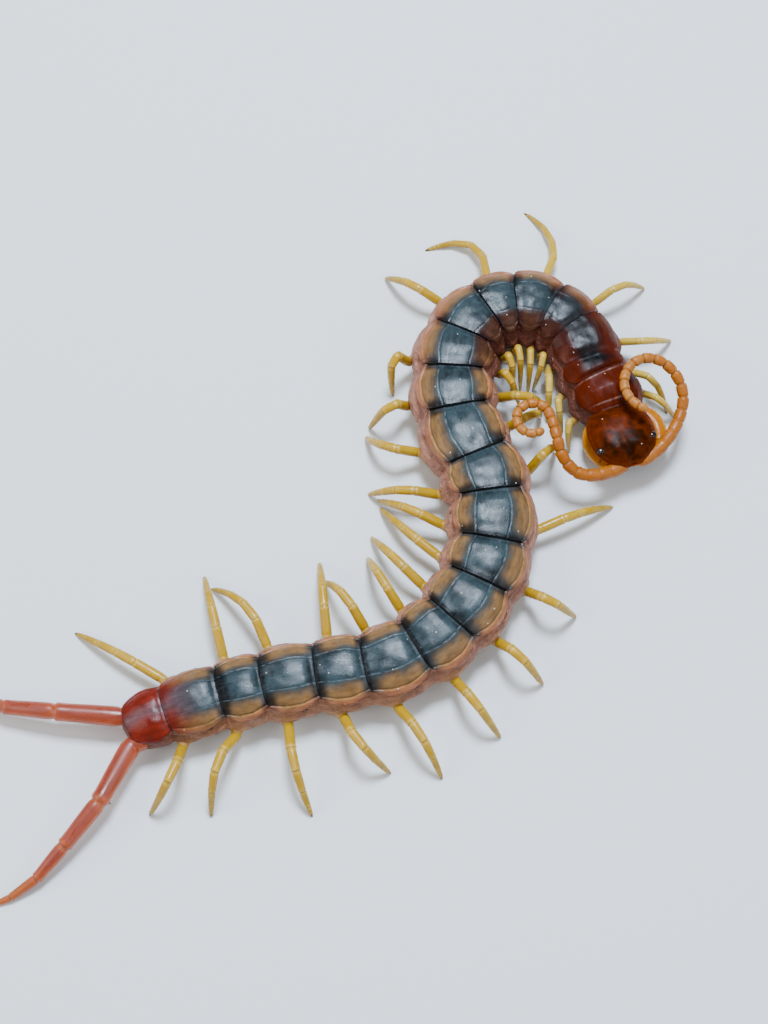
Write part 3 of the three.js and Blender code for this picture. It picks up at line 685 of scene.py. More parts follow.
def leg_joints(start, foot, bow, back, length):
    """A leg's joints on its arch from hip to foot, arched just enough to have the length given."""
    ahead = (foot - start) * Vector((1, 1, 0))
    ahead.normalize()
    bend = -back
    bend = (bend - ahead * bend.dot(ahead)).normalized()
    low, high = 0.0, length
    for _ in range(24):
        arch = (low + high) / 2
        line = [
            start.lerp(foot, i / 96) + bend * (bow * 4 * i / 96 * (1 - i / 96)) + UP * (arch * math.sin(math.pi * i / 96))
            for i in range(97)
        ]
        whole = sum((b - a).length for a, b in zip(line, line[1:]))
        if whole < length:
            low = arch
        else:
            high = arch
    joints = []
    passed = 0.0
    for a, b in zip(line, line[1:]):
        step = (b - a).length
        while len(joints) < len(LEG_JOINTS) and LEG_JOINTS[len(joints)] * whole <= passed + step + 1e-9:
            joints.append(a.lerp(b, min(1, (LEG_JOINTS[len(joints)] * whole - passed) / step)))
        passed += step
    while len(joints) < len(LEG_JOINTS):
        joints.append(line[-1])
    return joints


def bent_line(shares, joints, before, rounding):
    """Straight between its joints, turning over a short way at each; before them it runs along its first way."""
    whole = sum((b - a).length for a, b in zip(joints, joints[1:]))

    def straight(x):
        if x < 0:
            return joints[0] + before * (x * whole)
        i = 0
        while i < len(shares) - 2 and x > shares[i + 1]:
            i += 1
        return joints[i].lerp(joints[i + 1], (x - shares[i]) / (shares[i + 1] - shares[i]))

    @functools.lru_cache(maxsize=None)
    def line_at(x):
        near, far = straight(x - rounding), straight(min(x + rounding, shares[-1]))
        at = straight(x) * 0.5 + (near + far) * 0.25 if x < shares[-1] - rounding else straight(x)
        return at, (far - near).normalized()

    return line_at


def article_rings(first, last, radius, following):
    """The rings of one article between two joints: a soft neck, a collar, a long barrel and a flared end."""
    long = last - first
    return [
        (first + 0.030 * long, 0.90 * radius),
        (first + 0.075 * long, 0.98 * radius),
        (first + 0.16 * long, 1.0 * radius),
        (first + 0.45 * long, 1.01 * mix(radius, following, 0.25)),
        (first + 0.72 * long, 0.99 * mix(radius, following, 0.5)),
        (first + 0.88 * long, 1.0 * mix(radius, following, 0.66)),
        (first + 0.945 * long, 1.06 * mix(radius, following, 0.72)),
        (first + 0.975 * long, 1.01 * mix(radius, following, 0.75)),
        (first + 0.99 * long, 0.91 * following),
    ]


leg_rings = [(-0.22, 0.58), (-0.17, 0.68), (-0.11, 0.69), (-0.06, 0.65), (-0.035, 0.59), (-0.022, 0.51)]
leg_rings += [(-0.012, 0.51), (-0.004, 0.53)]
for i in range(5):
    leg_rings += article_rings(LEG_JOINTS[i], LEG_JOINTS[i + 1], LEG_RADII[i], LEG_RADII[i + 1])
leg_rings += [(0.957, 0.15), (0.963, 0.17), (0.972, 0.145), (0.983, 0.10), (0.993, 0.055), (1.0, 0.018)]
leg_master = drawn_tube("leg_master", LEG_SIDES, leg_rings)
LEG_OCHRE = colour("#b08a08")
LEG_PALE = colour("#c2a43c")
LEG_RING = colour("#c9ab4a")
LEG_LINE = colour("#6e4a1c")
CLAW_DARK = colour("#22130d")


def leg_colour(x, y, z, pair):
    """Ochre, paler in front, with pale soft rings at the joints, a fine dark line in each and a dark claw."""
    tone = blend_colours(LEG_PALE, LEG_OCHRE, smooth(pair, 1, 6))
    tone = blend_colours(tone, colour("#7c6414"), 0.5 * smooth(x, 0.45, 0.95))
    tone = blend_colours(tone, colour("#94652a"), 0.28 * ridge(math.atan2(z, abs(y)), 0.15, 0.22))
    joint = min(abs(x - share) for share in LEG_JOINTS[1:6])
    tone = blend_colours(tone, LEG_RING, 0.5 * ridge(joint, 0.014, 0.010))
    tone = blend_colours(tone, LEG_LINE, 0.75 * ridge(joint, 0, 0.0045))
    tone = blend_colours(tone, HIDE_MIDDLE, 0.6 * (1 - smooth(x, -0.06, 0.01)))
    return blend_colours(tone, CLAW_DARK, smooth(x, 0.952, 0.975))


def walking_leg(pair, side):
    swing, reach, bow = LEGS[side][pair]
    distance, root_height = hip_place(pair)
    at, back, left = spine(distance)
    half = half_width(distance)
    turn = math.radians(min(max(swing * STUB_SWING, -STUB_SWING_MOST), STUB_SWING_MOST))
    root = at + left * (side * LEG_ROOT_SIDE * half) + UP * root_height
    out = left * (side * math.cos(turn)) - back * math.sin(turn)
    start = root + out * ((0.96 - LEG_ROOT_SIDE) * half / math.cos(turn) + STUB_OUT + GAP)
    way = left * (side * math.cos(math.radians(swing))) - back * math.sin(math.radians(swing))
    foot = (root + way * reach) * Vector((1, 1, 0))
    length = along(LEG_LENGTHS, pair)
    joints = leg_joints(start, foot, bow, back, length)
    level = UP.cross(((foot - start) * Vector((1, 1, 0))).normalized())
    scale = along(LEG_SCALES, pair) * (0.84 if side < 0 and 2 < pair < 8 else 1)
    piece = copied(leg_master, f"walking_leg_{SIDES[side]}_{pair + 1:02d}")
    keep_values(piece, "coat", [leg_colour(*vertex.co, pair) for vertex in piece.data.vertices])
    straight = [(x * length + 40 * pair, y + side, z) for x, y, z in (vertex.co for vertex in piece.data.vertices)]
    keep_values(piece, "straight", straight)
    lay_on_line(piece, bent_line(LEG_JOINTS, joints, out, KNEE_ROUND), level, scale)
    return piece


# Thin horn over pale flesh: satin, warm where light comes through
leg_horn = flesh_and_horn("thin_leg_horn", 0.28, 0.14, 0.008, 0.05, 0.40, 0.38, 0.12, (0.4, 1, 1))
for side, word in SIDES.items():
    for pair in range(len(LEGS[side])):
        dress(walking_leg(pair, side), leg_horn, [f"leg_{word}_{pair + 1:02d}"])
bpy.data.objects.remove(leg_master)

# Last legs. The thick pair that trails behind and only feels: stout horn articles, red above and orange below,
# the first with small dark spines on its inner side and a pointed corner at its end.
LAST_LEG_ARTICLES = ((6.8, 1.02), (5.3, 0.86), (4.0, 0.70), (3.0, 0.52), (1.9, 0.36), (1.0, 0.2))
LAST_LEG_SIDE = {1: 1.15, -1: 1.9}
LAST_LEG_HEIGHT = 2.6
LAST_LEG_WAYS = {1: (-24, ((10, -4), (12, -30))), -1: (76, ((3.5, -45), (10.5, 0), (8, -40)))}
LAST_LEG_SIDES = 26
last_length = sum(length for length, _ in LAST_LEG_ARTICLES)
last_joints = [0.0]
for article, _ in LAST_LEG_ARTICLES:
    last_joints.append(last_joints[-1] + article / last_length)
last_rings = [(-0.07, 0.86), (-0.045, 0.98), (-0.02, 1.0), (-0.006, 0.93)]
for i in range(5):
    radius, following = LAST_LEG_ARTICLES[i][1], LAST_LEG_ARTICLES[i + 1][1]
    last_rings += article_rings(last_joints[i], last_joints[i + 1], radius, following)
last_rings += [(0.957, 0.155), (0.964, 0.18), (0.974, 0.15), (0.985, 0.10), (0.994, 0.055), (1.0, 0.018)]
last_master = drawn_tube("last_master", LAST_LEG_SIDES, last_rings)
LAST_TOP = colour("#863420")
LAST_UNDER = colour("#a84400")
LAST_END = colour("#a85408")


def last_leg_colour(x, y, z):
    over = z / max(0.001, math.hypot(y, z))
    tone = blend_colours(LAST_UNDER, LAST_TOP, smooth(over, 0.30, 0.95))
    tone = blend_colours(tone, LAST_END, 0.8 * smooth(x, 0.62, 0.9))
    tone = blend_colours(tone, colour("#b85a1c"), 0.4 * ridge(min(abs(x - s) for s in last_joints[1:6]), 0.010, 0.010))
    tone = blend_colours(tone, colour("#4d1f16"), 0.6 * ridge(min(abs(x - s) for s in last_joints[1:6]), 0, 0.003))
    return blend_colours(tone, CLAW_DARK, smooth(x, 0.953, 0.975))


def last_leg_line(side):
    end, back, left = spine(tail)
    swing, arcs = LAST_LEG_WAYS[side]
    root = end + back * (GAP / 2) + left * (side * LAST_LEG_SIDE[side])
    heading = math.degrees(math.atan2(back.y, back.x)) + swing
    joints = []
    for share in last_joints:
        x, y, _ = walk((root.x, root.y), heading, arcs, share * last_length)
        joints.append(Vector((x, y, LAST_LEG_HEIGHT * (1 - smooth(share)) + 0.9 * math.sin(math.pi * share))))
    return bent_line(last_joints, joints, back, 0.012), joints


def last_leg_spines(side, line_at, level):
    """Short dark spines in two rows on the inner and under side of the first article, and one at its inner end."""
    random.seed(21 + side)
    spines = []
    spots = [(0.06 + 0.045 * i, -55 - 24 * (i % 2)) for i in range(4)] + [(0.285, -24)]
    for x, turn in spots:
        bpy.ops.object.select_all(action="DESELECT")
        bpy.ops.mesh.primitive_cone_add(vertices=10, radius1=0.13, radius2=0.02, depth=0.42, end_fill_type="NGON")
        spine_piece = start_piece("spine")
        at, ahead = line_at(x)
        across = (level - ahead * level.dot(ahead)).normalized()
        over = ahead.cross(across)
        angle = math.radians(turn + random.uniform(-5, 5))
        outward = across * (-side * math.cos(angle)) + over * math.sin(angle)
        lean = (outward + ahead * 0.45).normalized()
        turned = UP.rotation_difference(lean).to_matrix()
        middle = at + outward * (along(((0, 1.0), (0.26, 0.93)), x) + 0.08)
        for vertex in spine_piece.data.vertices:
            vertex.co = (middle + turned @ vertex.co) * MM
        keep_values(spine_piece, "coat", [CLAW_DARK] * len(spine_piece.data.vertices))
        keep_values(spine_piece, "straight", [tuple(vertex.co / MM) for vertex in spine_piece.data.vertices])
        spines.append(spine_piece)
    return spines


def last_leg(side):
    line_at, joints = last_leg_line(side)
    level = UP.cross(((joints[-1] - joints[0]) * Vector((1, 1, 0))).normalized())
    piece = copied(last_master, f"trailing_leg_{SIDES[side]}")
    keep_values(piece, "coat", [last_leg_colour(*vertex.co) for vertex in piece.data.vertices])
    straight = [(x * last_length, y + 3 * side, z) for x, y, z in (vertex.co for vertex in piece.data.vertices)]
    keep_values(piece, "straight", straight)
    lay_on_line(piece, line_at, level)
    return join_pieces(piece.name, [piece] + last_leg_spines(side, line_at, level))


# Stout horn: glossy and deep in colour
stout_horn = flesh_and_horn("stout_leg_horn", 0.30, 0.22, 0.010, 0.08, 0.30, 0.50, 0.22, (0.3, 1, 1))
for side, word in SIDES.items():
    dress(last_leg(side), stout_horn, [f"last_leg_{word}"])
bpy.data.objects.remove(last_master)

# Head capsule. One hard, rounded, amber-brown shell, flat above with a sharp rim all round, a notch between the
# feelers in front, two faint lengthwise lines behind, and the dark muscles showing through it.
HEAD_SIDE = -0.45              # the head leans this far to its right, the poison claws to their left
HEAD_HALF_WIDTH = 3.5
HEAD_MIDDLE = 3.4              # from the front of the head to the middle of the capsule
HEAD_REACH = (3.62, 3.42)      # from there to the front and to the hind edge
HEAD_UNDERSIDE = 3.42
HEAD_RIM = 4.5
HEAD_TOP = 5.78
HEAD_AMBER = colour("#561c00")
HEAD_BROWN = colour("#240c00")
HEAD_EDGE = colour("#5e2300")
HEAD_UNDER = colour("#94500a")


@functools.lru_cache(maxsize=None)
def head_spine(distance):
    at, back, left = spine(distance)
    return at + left * HEAD_SIDE, back, left


def head_outline(angle):
    """Distance from the middle of the head to its rim; the angle goes from straight ahead towards either side."""
    ahead = math.cos(angle) > 0
    reach = HEAD_REACH[0] if ahead else HEAD_REACH[1]
    power = 2.05 if ahead else 2.7
    c = abs(math.cos(angle)) / reach
    s = abs(math.sin(angle)) / HEAD_HALF_WIDTH
    return (c ** power + s ** power) ** (-1 / power)


def head_surface(angle, share):
    """Height of the capsule's upper side; share is 0 in the middle and 1 at the rim."""
    ahead = math.cos(angle) * share
    fall = 0.30 * smooth(ahead, 0.35, 1.0)
    dome = (1 - share ** 3.0) ** 0.62
    return mix(HEAD_RIM - 0.3 * smooth(ahead, 0.5, 1.0), HEAD_TOP - fall, dome)


bpy.ops.object.select_all(action="DESELECT")
bpy.ops.mesh.primitive_uv_sphere_add(segments=176, ring_count=120, radius=1)
head_capsule = start_piece("head_capsule")
coat = []
for vertex in head_capsule.data.vertices:
    x, y, z = vertex.co
    angle = math.atan2(y, -x)
    share = min(1, math.hypot(x, y))
    spread = math.sin(math.pi / 2 * share ** 1.15) ** 1.1
    rim = head_outline(angle)
    if z >= 0:
        height = head_surface(angle, spread) - 0.05 * ridge(spread, 0.925, 0.018)
        overhang = 1 + 0.016 * ridge(z, 0.10, 0.10)
    else:
        height = mix(HEAD_RIM, HEAD_UNDERSIDE, (1 - spread ** 4) ** 0.5)
        height -= 0.3 * smooth(math.cos(angle) * spread, 0.5, 1.0) * (1 - (1 - spread ** 4) ** 0.5)
        overhang = 1 - 0.035 * smooth(-z, 0.0, 0.25)
    back = HEAD_MIDDLE - math.cos(angle) * rim * spread * overhang
    side = math.sin(angle) * rim * spread * overhang
    if z > 0:
        # notch between the feelers, hollows behind their sockets, and the two lines at the back of the plate
        height -= 0.22 * ridge(side, 0, 0.42) * (1 - smooth(back, 0.2, 1.3))
        height += 0.16 * ridge(math.hypot(abs(side) - 1.35, back - 1.5), 0, 0.75)
        line = 0.95 + 0.10 * back
        height -= 0.045 * ridge(abs(side), line, 0.06) * smooth(back, 3.6, 5.2)
        height -= 0.03 * ridge(side, 0, 0.10) * (1 - smooth(back, 2.2, 3.2))
        height += 0.05 * noise.noise(Vector((back * 0.9, side * 0.9, 2.0)))
        back += 0.20 * ridge(side, 0, 0.38) * (1 - smooth(back, 0.0, 0.9))
    blotch = noise.noise(Vector((back * 0.55, abs(side) * 0.75, 1.5)))
    streak = noise.noise(Vector((back * 1.5, side * 1.5, 4.0)))
    muscle = ridge(abs(side), 1.25, 0.95) * ridge(back, 2.9, 1.35) + 0.8 * ridge(side, 0, 0.5) * ridge(back, 1.7, 1.0)
    vein = noise.noise(Vector((back * 3.4, side * 3.4, 9.0)))
    dark = muscle * (0.40 + 0.7 * streak) + 0.5 * blotch + 0.35 * streak + 0.25 * vein
    dark = min(1, max(0, dark + 0.30 + 0.40 * (1 - smooth(back, 0.4, 4.6))))
    tone = blend_colours(HEAD_AMBER, HEAD_BROWN, dark)
    tone = blend_colours(tone, HEAD_EDGE, 0.7 * smooth(spread, 0.88, 0.99))
    if z < 0:
        tone = blend_colours(HEAD_EDGE, HEAD_UNDER, smooth(-z, 0.05, 0.5))
    coat.append(tone)
    vertex.co = (back, side, height)
keep_values(head_capsule, "coat", coat)
keep_values(head_capsule, "straight", [tuple(vertex.co) for vertex in head_capsule.data.vertices])
lay_on_body(head_capsule, head_spine)
close_seams(head_capsule)
# Hard head horn: deep gloss over amber, lit a little from inside
head_horn = flesh_and_horn("amber_head_horn", 0.28, 0.12, 0.008, 0.06, 0.15, 0.030, 0.32)
dress(head_capsule, head_horn, ["head"])

# Eyes. Four small black eyelets on each side stand close together on a low mound near the front corner of the head.
EYE_PLACE = (2.8, 2.2, 4.92)   # from the middle line, from the front of the head, and height
EYELETS = ((0.26, 0.20, 0.165), (-0.16, 0.23, 0.15), (-0.17, -0.19, 0.145), (0.22, -0.21, 0.155))


def eyelets(side):
    """The mound and its four eyelets; each is a place on the mound, out and back, and a radius."""
    across, back, height = EYE_PLACE
    parts = []
    beads = [(0.05, 0.0, 0.0, (0.50, 0.43, 0.27), colour("#120703"))]
    beads += [(u, v, 0.19 - 0.35 * max(u, 0), (r, r, r * 0.95), colour("#050404")) for u, v, r in EYELETS]
    for out, behind, rise, size, tone in beads:
        bpy.ops.object.select_all(action="DESELECT")
        bpy.ops.mesh.primitive_uv_sphere_add(segments=32, ring_count=20, radius=1)
        bead = start_piece("bead")
        for vertex in bead.data.vertices:
            x, y, z = vertex.co
            vertex.co = (back + behind + x * size[1], side * (across + out) + y * size[0], height + rise + z * size[2])
        keep_values(bead, "coat", [tone] * len(bead.data.vertices))
        keep_values(bead, "straight", [tuple(vertex.co) for vertex in bead.data.vertices])
        lay_on_body(bead, head_spine)
        parts.append(bead)
    return join_pieces(f"eyelets_{SIDES[side]}", parts)


# Polished lens of clear horn over black: wet, sharp gloss
eye_lens = flesh_and_horn("polished_eye_lens", 0.12, 0.2, 0.001, 0.0, 0.0, 0.40, 0.1)
for side, word in SIDES.items():
    dress(eyelets(side), eye_lens, [f"eye_{word}"])

# Feelers. Two strings of 18 horn rings, the first six smooth and long, the rest bead-like and covered in down too
# short to see. They grow from the notch in front of the head and curl upwards, one shape laid along two ways.
FEELER_ARTICLES = 18
FEELER_RADII = ((0, 0.74), (0.33, 0.62), (1, 0.46))
FEELER_ROOT = (1.25, 0.3)
FEELER_HEIGHT = 4.35
FEELER_DROP = 0.65             # the root is this much lower, under the edge of the head
FEELERS = {                    # heading off the head's own way, arcs, rise, and the shares where it starts and ends
    1: (100, ((7.5, 49), (4.8, 76), (10.4, 193)), 3.1, 0.25, 0.7),
    -1: (-78, ((2.8, -16), (5.3, -92), (2.4, 0), (1.2, 8), (5.4, 175), (3.4, 120)), 2.2, 0.2, 0.45),
}
feeler_lengths = [mix(1.15, 0.85, i / (FEELER_ARTICLES - 1)) for i in range(FEELER_ARTICLES)]
feeler_ends = [sum(feeler_lengths[:i]) / sum(feeler_lengths) for i in range(FEELER_ARTICLES + 1)]
feeler_rings = [(-0.06, 0.50), (-0.05, 0.58), (-0.035, 0.62), (-0.02, 0.64), (-0.008, 0.68)]
for i in range(FEELER_ARTICLES):
    first, last = feeler_ends[i], feeler_ends[i + 1]
    pinch = mix(0.95, 0.70, smooth(i / 9))
    for share, swell in ((0.03, pinch), (0.09, mix(pinch, 0.98, 0.6)), (0.20, 0.97), (0.45, 1.0), (0.70, 1.03),
                         (0.86, 1.02), (0.94, mix(pinch, 1.0, 0.65)), (0.985, pinch * 0.98)):
        x = mix(first, last, share)
        if i == FEELER_ARTICLES - 1 and share > 0.4:
            swell *= math.sqrt(max(0.02, 1 - ((share - 0.4) / 0.6) ** 2))
        feeler_rings.append((x, along(FEELER_RADII, x) * swell))
feeler_master = drawn_tube("feeler_master", 28, feeler_rings)
FEELER_ORANGE = colour("#9a5600")
FEELER_PALE = colour("#b0762c")
FEELER_LINE = colour("#7a3a08")


def feeler_colour(x, y, z):
    number = min(FEELER_ARTICLES - 1, max(0, sum(1 for end in feeler_ends if end <= x) - 1))
    share = (x - feeler_ends[number]) / (feeler_ends[number + 1] - feeler_ends[number])
    tone = blend_colours(FEELER_ORANGE, FEELER_PALE, smooth(x, 0.3, 0.95) * 0.8)
    tone = blend_colours(tone, colour("#98500f"), 0.5 * ridge(share, 0.5, 0.22) * smooth(x, 0.2, 0.4))
    return blend_colours(tone, FEELER_LINE, mix(0.15, 0.6, smooth(x, 0.15, 0.5)) * ridge(min(share, 1 - share), 0, 0.07))


def feeler_line(side):
    heading, arcs, rise, low, high = FEELERS[side]
    at, back, left = head_spine(0.0)
    root = at + back * FEELER_ROOT[1] + left * (side * FEELER_ROOT[0])
    whole = sum(length for length, _ in arcs)

    def place(x):
        px, py, _ = walk((root.x, root.y), SPINE_HEADING + 180 + heading, arcs, max(x, 0) * whole)
        spot = Vector((px, py, FEELER_HEIGHT + rise * smooth(x, low, high) - FEELER_DROP * (1 - smooth(x, 0, 0.22))))
        if x < 0:
            # the root turns back into its socket under the front of the head
            turn = min(-x * whole / 0.75, math.pi / 2)
            spot += (back * (1 - math.cos(turn)) - left * (side * math.sin(turn))) * 0.75
            spot += back * max(0, -x * whole - 0.75 * math.pi / 2)
        return spot

    @functools.lru_cache(maxsize=None)
    def line_at(x):
        return place(x), (place(x + 0.003) - place(x - 0.003)).normalized()

    return line_at, whole


# Thin, downy horn over flesh: soft sheen, orange where light comes through
feeler_horn = flesh_and_horn("thin_feeler_horn", 0.36, 0.07, 0.010, 0.04, 0.45, 0.28, 0.14)
for side, word in SIDES.items():
    line_at, whole = feeler_line(side)
    feeler = copied(feeler_master, f"feeler_{word}")
    keep_values(feeler, "coat", [feeler_colour(*vertex.co) for vertex in feeler.data.vertices])
    straight = [(x * whole, y + 3 * side, z) for x, y, z in (vertex.co for vertex in feeler.data.vertices)]
    keep_values(feeler, "straight", straight)
    lay_on_line(feeler, line_at, UP)
    dress(feeler, feeler_horn, [f"antenna_{word}"])
bpy.data.objects.remove(feeler_master)

# Poison claws. The stout, curved pair under the head, each one thick joint, two narrow rings and a sharp black
# fang, all hard amber horn. They are hinged in the corners of the jaw plate and meet in front.
CLAW_SIDE = 0.4
JAW_TOP = 3.1
CLAW_PATH = (                  # from the front, from the middle line, height, radius
    (5.9, 2.75, 2.10, 1.00), (5.2, 3.25, 2.10, 1.05), (4.3, 3.55, 2.10, 1.04), (3.3, 3.50, 2.10, 0.98),
    (2.3, 3.15, 2.05, 0.86), (1.5, 2.55, 2.00, 0.70), (1.05, 1.80, 1.90, 0.48), (0.90, 1.05, 1.80, 0.26),
    (0.90, 0.50, 1.75, 0.10),
)
CLAW_SIDES = 36
CLAW_STEPS = 80
CLAW_RINGS = (4.05, 4.75)      # the two hinge creases, counted along the path's points
CLAW_AMBER = colour("#b26800")
CLAW_EDGE_GLOW = colour("#cc9000")


@functools.lru_cache(maxsize=None)
def claw_spine(distance):
    at, back, left = spine(distance)
    return at + left * CLAW_SIDE, back, left


def open_catmull(points, t):
    """Point at t on a smooth open curve through the points; t counts points."""
    i = min(int(t), len(points) - 2)
    f = t - i
    near = [points[min(max(i + k, 0), len(points) - 1)] for k in (-1, 0, 1, 2)]
    return [
        0.5 * (2 * b + (c - a) * f + (2 * a - 5 * b + 4 * c - d) * f * f + (3 * b - a - 3 * c + d) * f ** 3)
        for a, b, c, d in zip(*near)
    ]


claw_stations = []
for i in range(CLAW_STEPS + 1):
    t = i / CLAW_STEPS * (len(CLAW_PATH) - 1)
    radius = open_catmull(CLAW_PATH, t)[3]
    radius *= 1 - 0.16 * sum(ridge(t, ring, 0.07) for ring in CLAW_RINGS)
    radius *= 1 + 0.05 * sum(ridge(t, ring - 0.22, 0.12) for ring in CLAW_RINGS)
    claw_stations.append((t, max(radius, 0.035) if i else 0.55))
claw_master = drawn_tube("claw_master", CLAW_SIDES, claw_stations)


def claw_colour(t, y, z):
    # painted light: the amber is paler at the sides, as if light shone through the thin edges
    tone = blend_colours(CLAW_AMBER, CLAW_EDGE_GLOW, 0.6 * smooth(abs(y) / 1.0, 0.55, 1.0))
    tone = blend_colours(tone, colour("#6b3010"), 0.55 * sum(ridge(t, ring, 0.10) for ring in CLAW_RINGS))
    tone = blend_colours(tone, colour("#5a2a12"), smooth(t, 5.0, 6.2))
    return blend_colours(tone, colour("#120a08"), smooth(t, 6.0, 7.2))


def poison_claw(side):
    """The left or right claw: the straight master laid along its path in the head's own directions."""
    piece = copied(claw_master, f"poison_claw_{SIDES[side]}")
    keep_values(piece, "coat", [claw_colour(*vertex.co) for vertex in piece.data.vertices])
    places = []
    for vertex in piece.data.vertices:
        t, y, z = vertex.co
        last = len(CLAW_PATH) - 1
        here = Vector(open_catmull(CLAW_PATH, min(t, last))[:3])
        ahead = Vector(open_catmull(CLAW_PATH, min(t + 0.05, last))[:3])
        ahead = (ahead - Vector(open_catmull(CLAW_PATH, max(min(t, last) - 0.05, 0))[:3])).normalized()
        outward = UP.cross(ahead).normalized()
        over = ahead.cross(outward)
        place = here + outward * y + over * (z * 0.96)
        places.append((place.x, side * place.y, place.z))
    for vertex, place in zip(piece.data.vertices, places):
        vertex.co = place
    keep_values(piece, "straight", places)
    lay_on_body(piece, claw_spine)
    close_seams(piece)
    return piece


# Thick, hard horn: the glossiest on the animal, amber with light in its edges
claw_horn = flesh_and_horn("hard_claw_horn", 0.22, 0.14, 0.005, 0.05, 0.35, 0.14, 0.15)
for side, word in SIDES.items():
    dress(poison_claw(side), claw_horn, [f"forcipule_{word}"])
bpy.data.objects.remove(claw_master)

# Jaw plate. The broad plate under the head that carries the poison claws, flat below, with a groove down its
# middle and a row of four short black teeth on each side of its front edge.
JAW_OUTLINE = ((1.9, 1.5), (2.4, 1.95), (3.6, 2.55), (5.0, 2.85), (6.0, 2.95), (6.4, 2.8))
JAW_ROUND = 72
JAW_ROWS = 44


def jaw_ring(back, turn):
    """Place on the plate's skin at a distance from the front, going round from the middle of the upper side."""
    half = along(JAW_OUTLINE, back)
    c, s = math.cos(turn), math.sin(turn)
    across = half * math.copysign(abs(s) ** 0.5, s)
    rise = math.copysign(abs(c) ** 0.6, c)
    height = mix(BELLY, JAW_TOP, 0.5 + 0.5 * rise)
    if c < 0:
        height += 0.09 * ridge(across, 0, 0.12) * smooth(back, 1.9, 2.6)
    return across, height


bpy.ops.object.select_all(action="DESELECT")
bpy.ops.mesh.primitive_grid_add(x_subdivisions=JAW_ROWS, y_subdivisions=JAW_ROUND, size=1)
jaw = start_piece("jaw_plate")
coat = []
for vertex in jaw.data.vertices:
    share = vertex.co.x + 0.5
    back = mix(1.9, 6.4, smooth(share))
    across, height = jaw_ring(back, 2 * math.pi * (vertex.co.y + 0.5))
    shrink = min(1, (share * 9) ** 0.5, ((1 - share) * 9) ** 0.5)
    tone = blend_colours(colour("#b06a26"), colour("#8a4518"), 0.5 + noise.noise(Vector((back, across, 3.0))))
    coat.append(blend_colours(tone, colour("#3a1a0c"), 1 - smooth(back, 1.9, 2.5)))
    vertex.co = (back, across * shrink, mix(mix(BELLY, JAW_TOP, 0.5), height, shrink))
keep_values(jaw, "coat", coat)
keep_values(jaw, "straight", [tuple(vertex.co) for vertex in jaw.data.vertices])
close_seams(jaw, 1e-4)
lay_on_body(jaw, claw_spine)
close_seams(jaw)
jaw_parts = [jaw]
for i in range(8):
    bpy.ops.object.select_all(action="DESELECT")
    bpy.ops.mesh.primitive_cone_add(vertices=12, radius1=0.17, radius2=0.05, depth=0.5, end_fill_type="NGON",
                                    rotation=(0, -math.pi / 2, 0))
    bpy.ops.object.transform_apply(location=True, rotation=True, scale=True)
    tooth = start_piece("tooth")
    across = (0.28 + 0.29 * (i % 4)) * (1 if i < 4 else -1)
    for vertex in tooth.data.vertices:
        x, y, z = vertex.co
        vertex.co = (1.85 + 0.06 * (i % 4) + x, across + y, 1.95 + z * 0.9)
    keep_values(tooth, "coat", [CLAW_DARK] * len(tooth.data.vertices))
    keep_values(tooth, "straight", [tuple(vertex.co) for vertex in tooth.data.vertices])
    lay_on_body(tooth, claw_spine)
    jaw_parts.append(tooth)
dress(join_pieces("jaw_plate", jaw_parts), claw_horn, ["forcipule_base"])

# Mouthparts. Between the head and the poison claws lie the soft, pale feeding jaws: a cleft pad with a short
# jointed palp on each side that curls round to the middle.
PALP_PATH = ((5.2, 1.9, 2.9), (4.0, 2.55, 3.0), (2.7, 2.35, 3.0), (1.7, 1.65, 2.95), (1.15, 0.85, 2.9), (1.1, 0.35, 2.85))
PALP_RADII = ((0, 0.42), (2, 0.40), (4, 0.30), (5, 0.12))
bpy.ops.object.select_all(action="DESELECT")
bpy.ops.mesh.primitive_uv_sphere_add(segments=64, ring_count=40, radius=1)
pad = start_piece("mouth_pad")
coat = []
for vertex in pad.data.vertices:
    x, y, z = vertex.co
    cleft = 1 - 0.16 * ridge(y, 0, 0.10) * smooth(-x, 0.2, 0.9)
    # painted shade darkens the cleft; the pad is also darker towards the front
    coat.append(blend_colours(colour("#c98c4c"), colour("#7a3e1c"), ridge(y, 0, 0.12) + 0.3 * smooth(-x, 0.6, 1)))
    vertex.co = (3.6 + x * 2.5 * cleft, y * 2.1, 3.2 + z * 0.75)
keep_values(pad, "coat", coat)
keep_values(pad, "straight", [tuple(vertex.co) for vertex in pad.data.vertices])
lay_on_body(pad, head_spine)
palp_stations = []
for i in range(51):
    t = i / 10
    palp_stations.append((t, along(PALP_RADII, t) * (1 - 0.15 * sum(ridge(t, ring, 0.08) for ring in (1.5, 3.2)))))
palp_master = drawn_tube("palp_master", 18, palp_stations)
palps = []
for side in SIDES:
    palp = copied(palp_master, "palp")
    places = []
    for vertex in palp.data.vertices:
        t, y, z = vertex.co
        here = Vector(open_catmull(PALP_PATH, min(t, 5)))
        ahead = (Vector(open_catmull(PALP_PATH, min(t + 0.05, 5))) - Vector(open_catmull(PALP_PATH, max(t - 0.05, 0))))
        outward = UP.cross(ahead.normalized()).normalized()
        place = here + outward * y + UP * z
        places.append((place.x, side * place.y, place.z))
    for vertex, place in zip(palp.data.vertices, places):
        vertex.co = place
    keep_values(palp, "coat", [colour("#c07c34")] * len(places))
    keep_values(palp, "straight", places)
    lay_on_body(palp, head_spine)
    close_seams(palp)
    palps.append(palp)
bpy.data.objects.remove(palp_master)
# Soft horn of the mouth: pale, moist, lets light in
mouth_skin = flesh_and_horn("moist_mouth_skin", 0.28, 0.12, 0.010, 0.0, 0.4, 0.4, 0.15)
dress(join_pieces("mouthparts", [pad] + palps), mouth_skin)

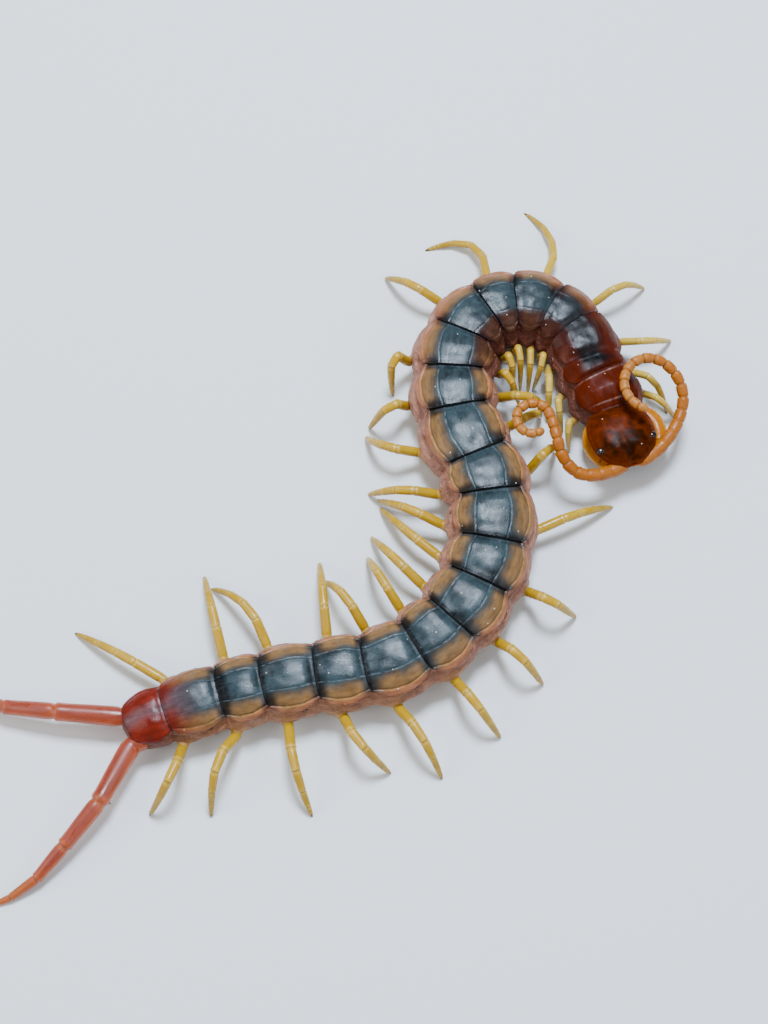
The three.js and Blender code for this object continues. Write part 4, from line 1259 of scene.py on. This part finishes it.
# Stage: a plain pale floor under soft studio light, and the camera high in front of the animal's right side,
# looking down at 67 degrees as in the photograph. The framing puts the model where the photograph has it.
CAMERA_ELEVATION = 67
CAMERA_LENS = 70               # mm on a 36 mm frame, long side
CAMERA_DISTANCE = 209.6
CAMERA_AIM = (7.5, 2.6, 0)
bpy.ops.object.select_all(action="DESELECT")
bpy.ops.mesh.primitive_plane_add(size=12)
floor = start_piece("floor")
floor_paint = new_material("matt_floor_paint")
floor_place = add_node(floor_paint, "ShaderNodeTexCoord")
floor_grain = add_node(floor_paint, "ShaderNodeTexNoise", {"Scale": 900.0, "Detail": 3.0},
                       {"Vector": floor_place.outputs["Object"]})
floor_bump = add_node(floor_paint, "ShaderNodeBump", {"Strength": 0.15, "Distance": 0.02 * MM},
                      {"Height": floor_grain.outputs["Fac"]})
floor_shader = add_node(floor_paint, "ShaderNodeBsdfPrincipled",
                        {"Base Color": colour("#dfe4e8"), "Roughness": 0.75, "Specular IOR Level": 0.25},
                        {"Normal": floor_bump.outputs["Normal"]})
add_node(floor_paint, "ShaderNodeOutputMaterial", links={"Surface": floor_shader.outputs["BSDF"]})
floor.data.materials.append(floor_paint)


def soft_light(name, azimuth, elevation, distance, size, power, tint):
    """A square soft box that looks at the model from a height and a side, as seen from above."""
    a, e = math.radians(azimuth), math.radians(elevation)
    towards = Vector((math.sin(a) * math.cos(e), math.cos(a) * math.cos(e), math.sin(e)))
    data = bpy.data.lights.new(name, "AREA")
    data.shape = "SQUARE"
    data.size = size
    data.energy = power
    data.color = colour(tint)[:3]
    light = bpy.data.objects.new(name, data)
    light.location = towards * distance
    light.rotation_euler = towards.to_track_quat("Z", "Y").to_euler()
    bpy.context.collection.objects.link(light)


soft_light("window_light", 10, 70, 0.45, 0.12, 3.9, "#dfedff")
soft_light("left_fill", -105, 38, 0.50, 0.35, 1.3, "#fff6ea")
soft_light("right_fill", 120, 42, 0.55, 0.35, 0.8, "#f2f6ff")
world = bpy.data.worlds.new("studio")
world.use_nodes = True
world.node_tree.nodes["Background"].inputs["Color"].default_value = colour("#e9eef3")
world.node_tree.nodes["Background"].inputs["Strength"].default_value = 0.55
bpy.context.scene.world = world

elevation = math.radians(CAMERA_ELEVATION)
backward = Vector((0, -math.cos(elevation), math.sin(elevation)))
camera_data = bpy.data.cameras.new("camera")
camera_data.lens = CAMERA_LENS
camera_data.sensor_width = 36
camera_data.clip_start = 0.01
camera = bpy.data.objects.new("camera", camera_data)
camera.location = (Vector(CAMERA_AIM) + backward * CAMERA_DISTANCE) * MM
camera.rotation_euler = backward.to_track_quat("Z", "Y").to_euler()
bpy.context.collection.objects.link(camera)
bpy.context.scene.camera = camera
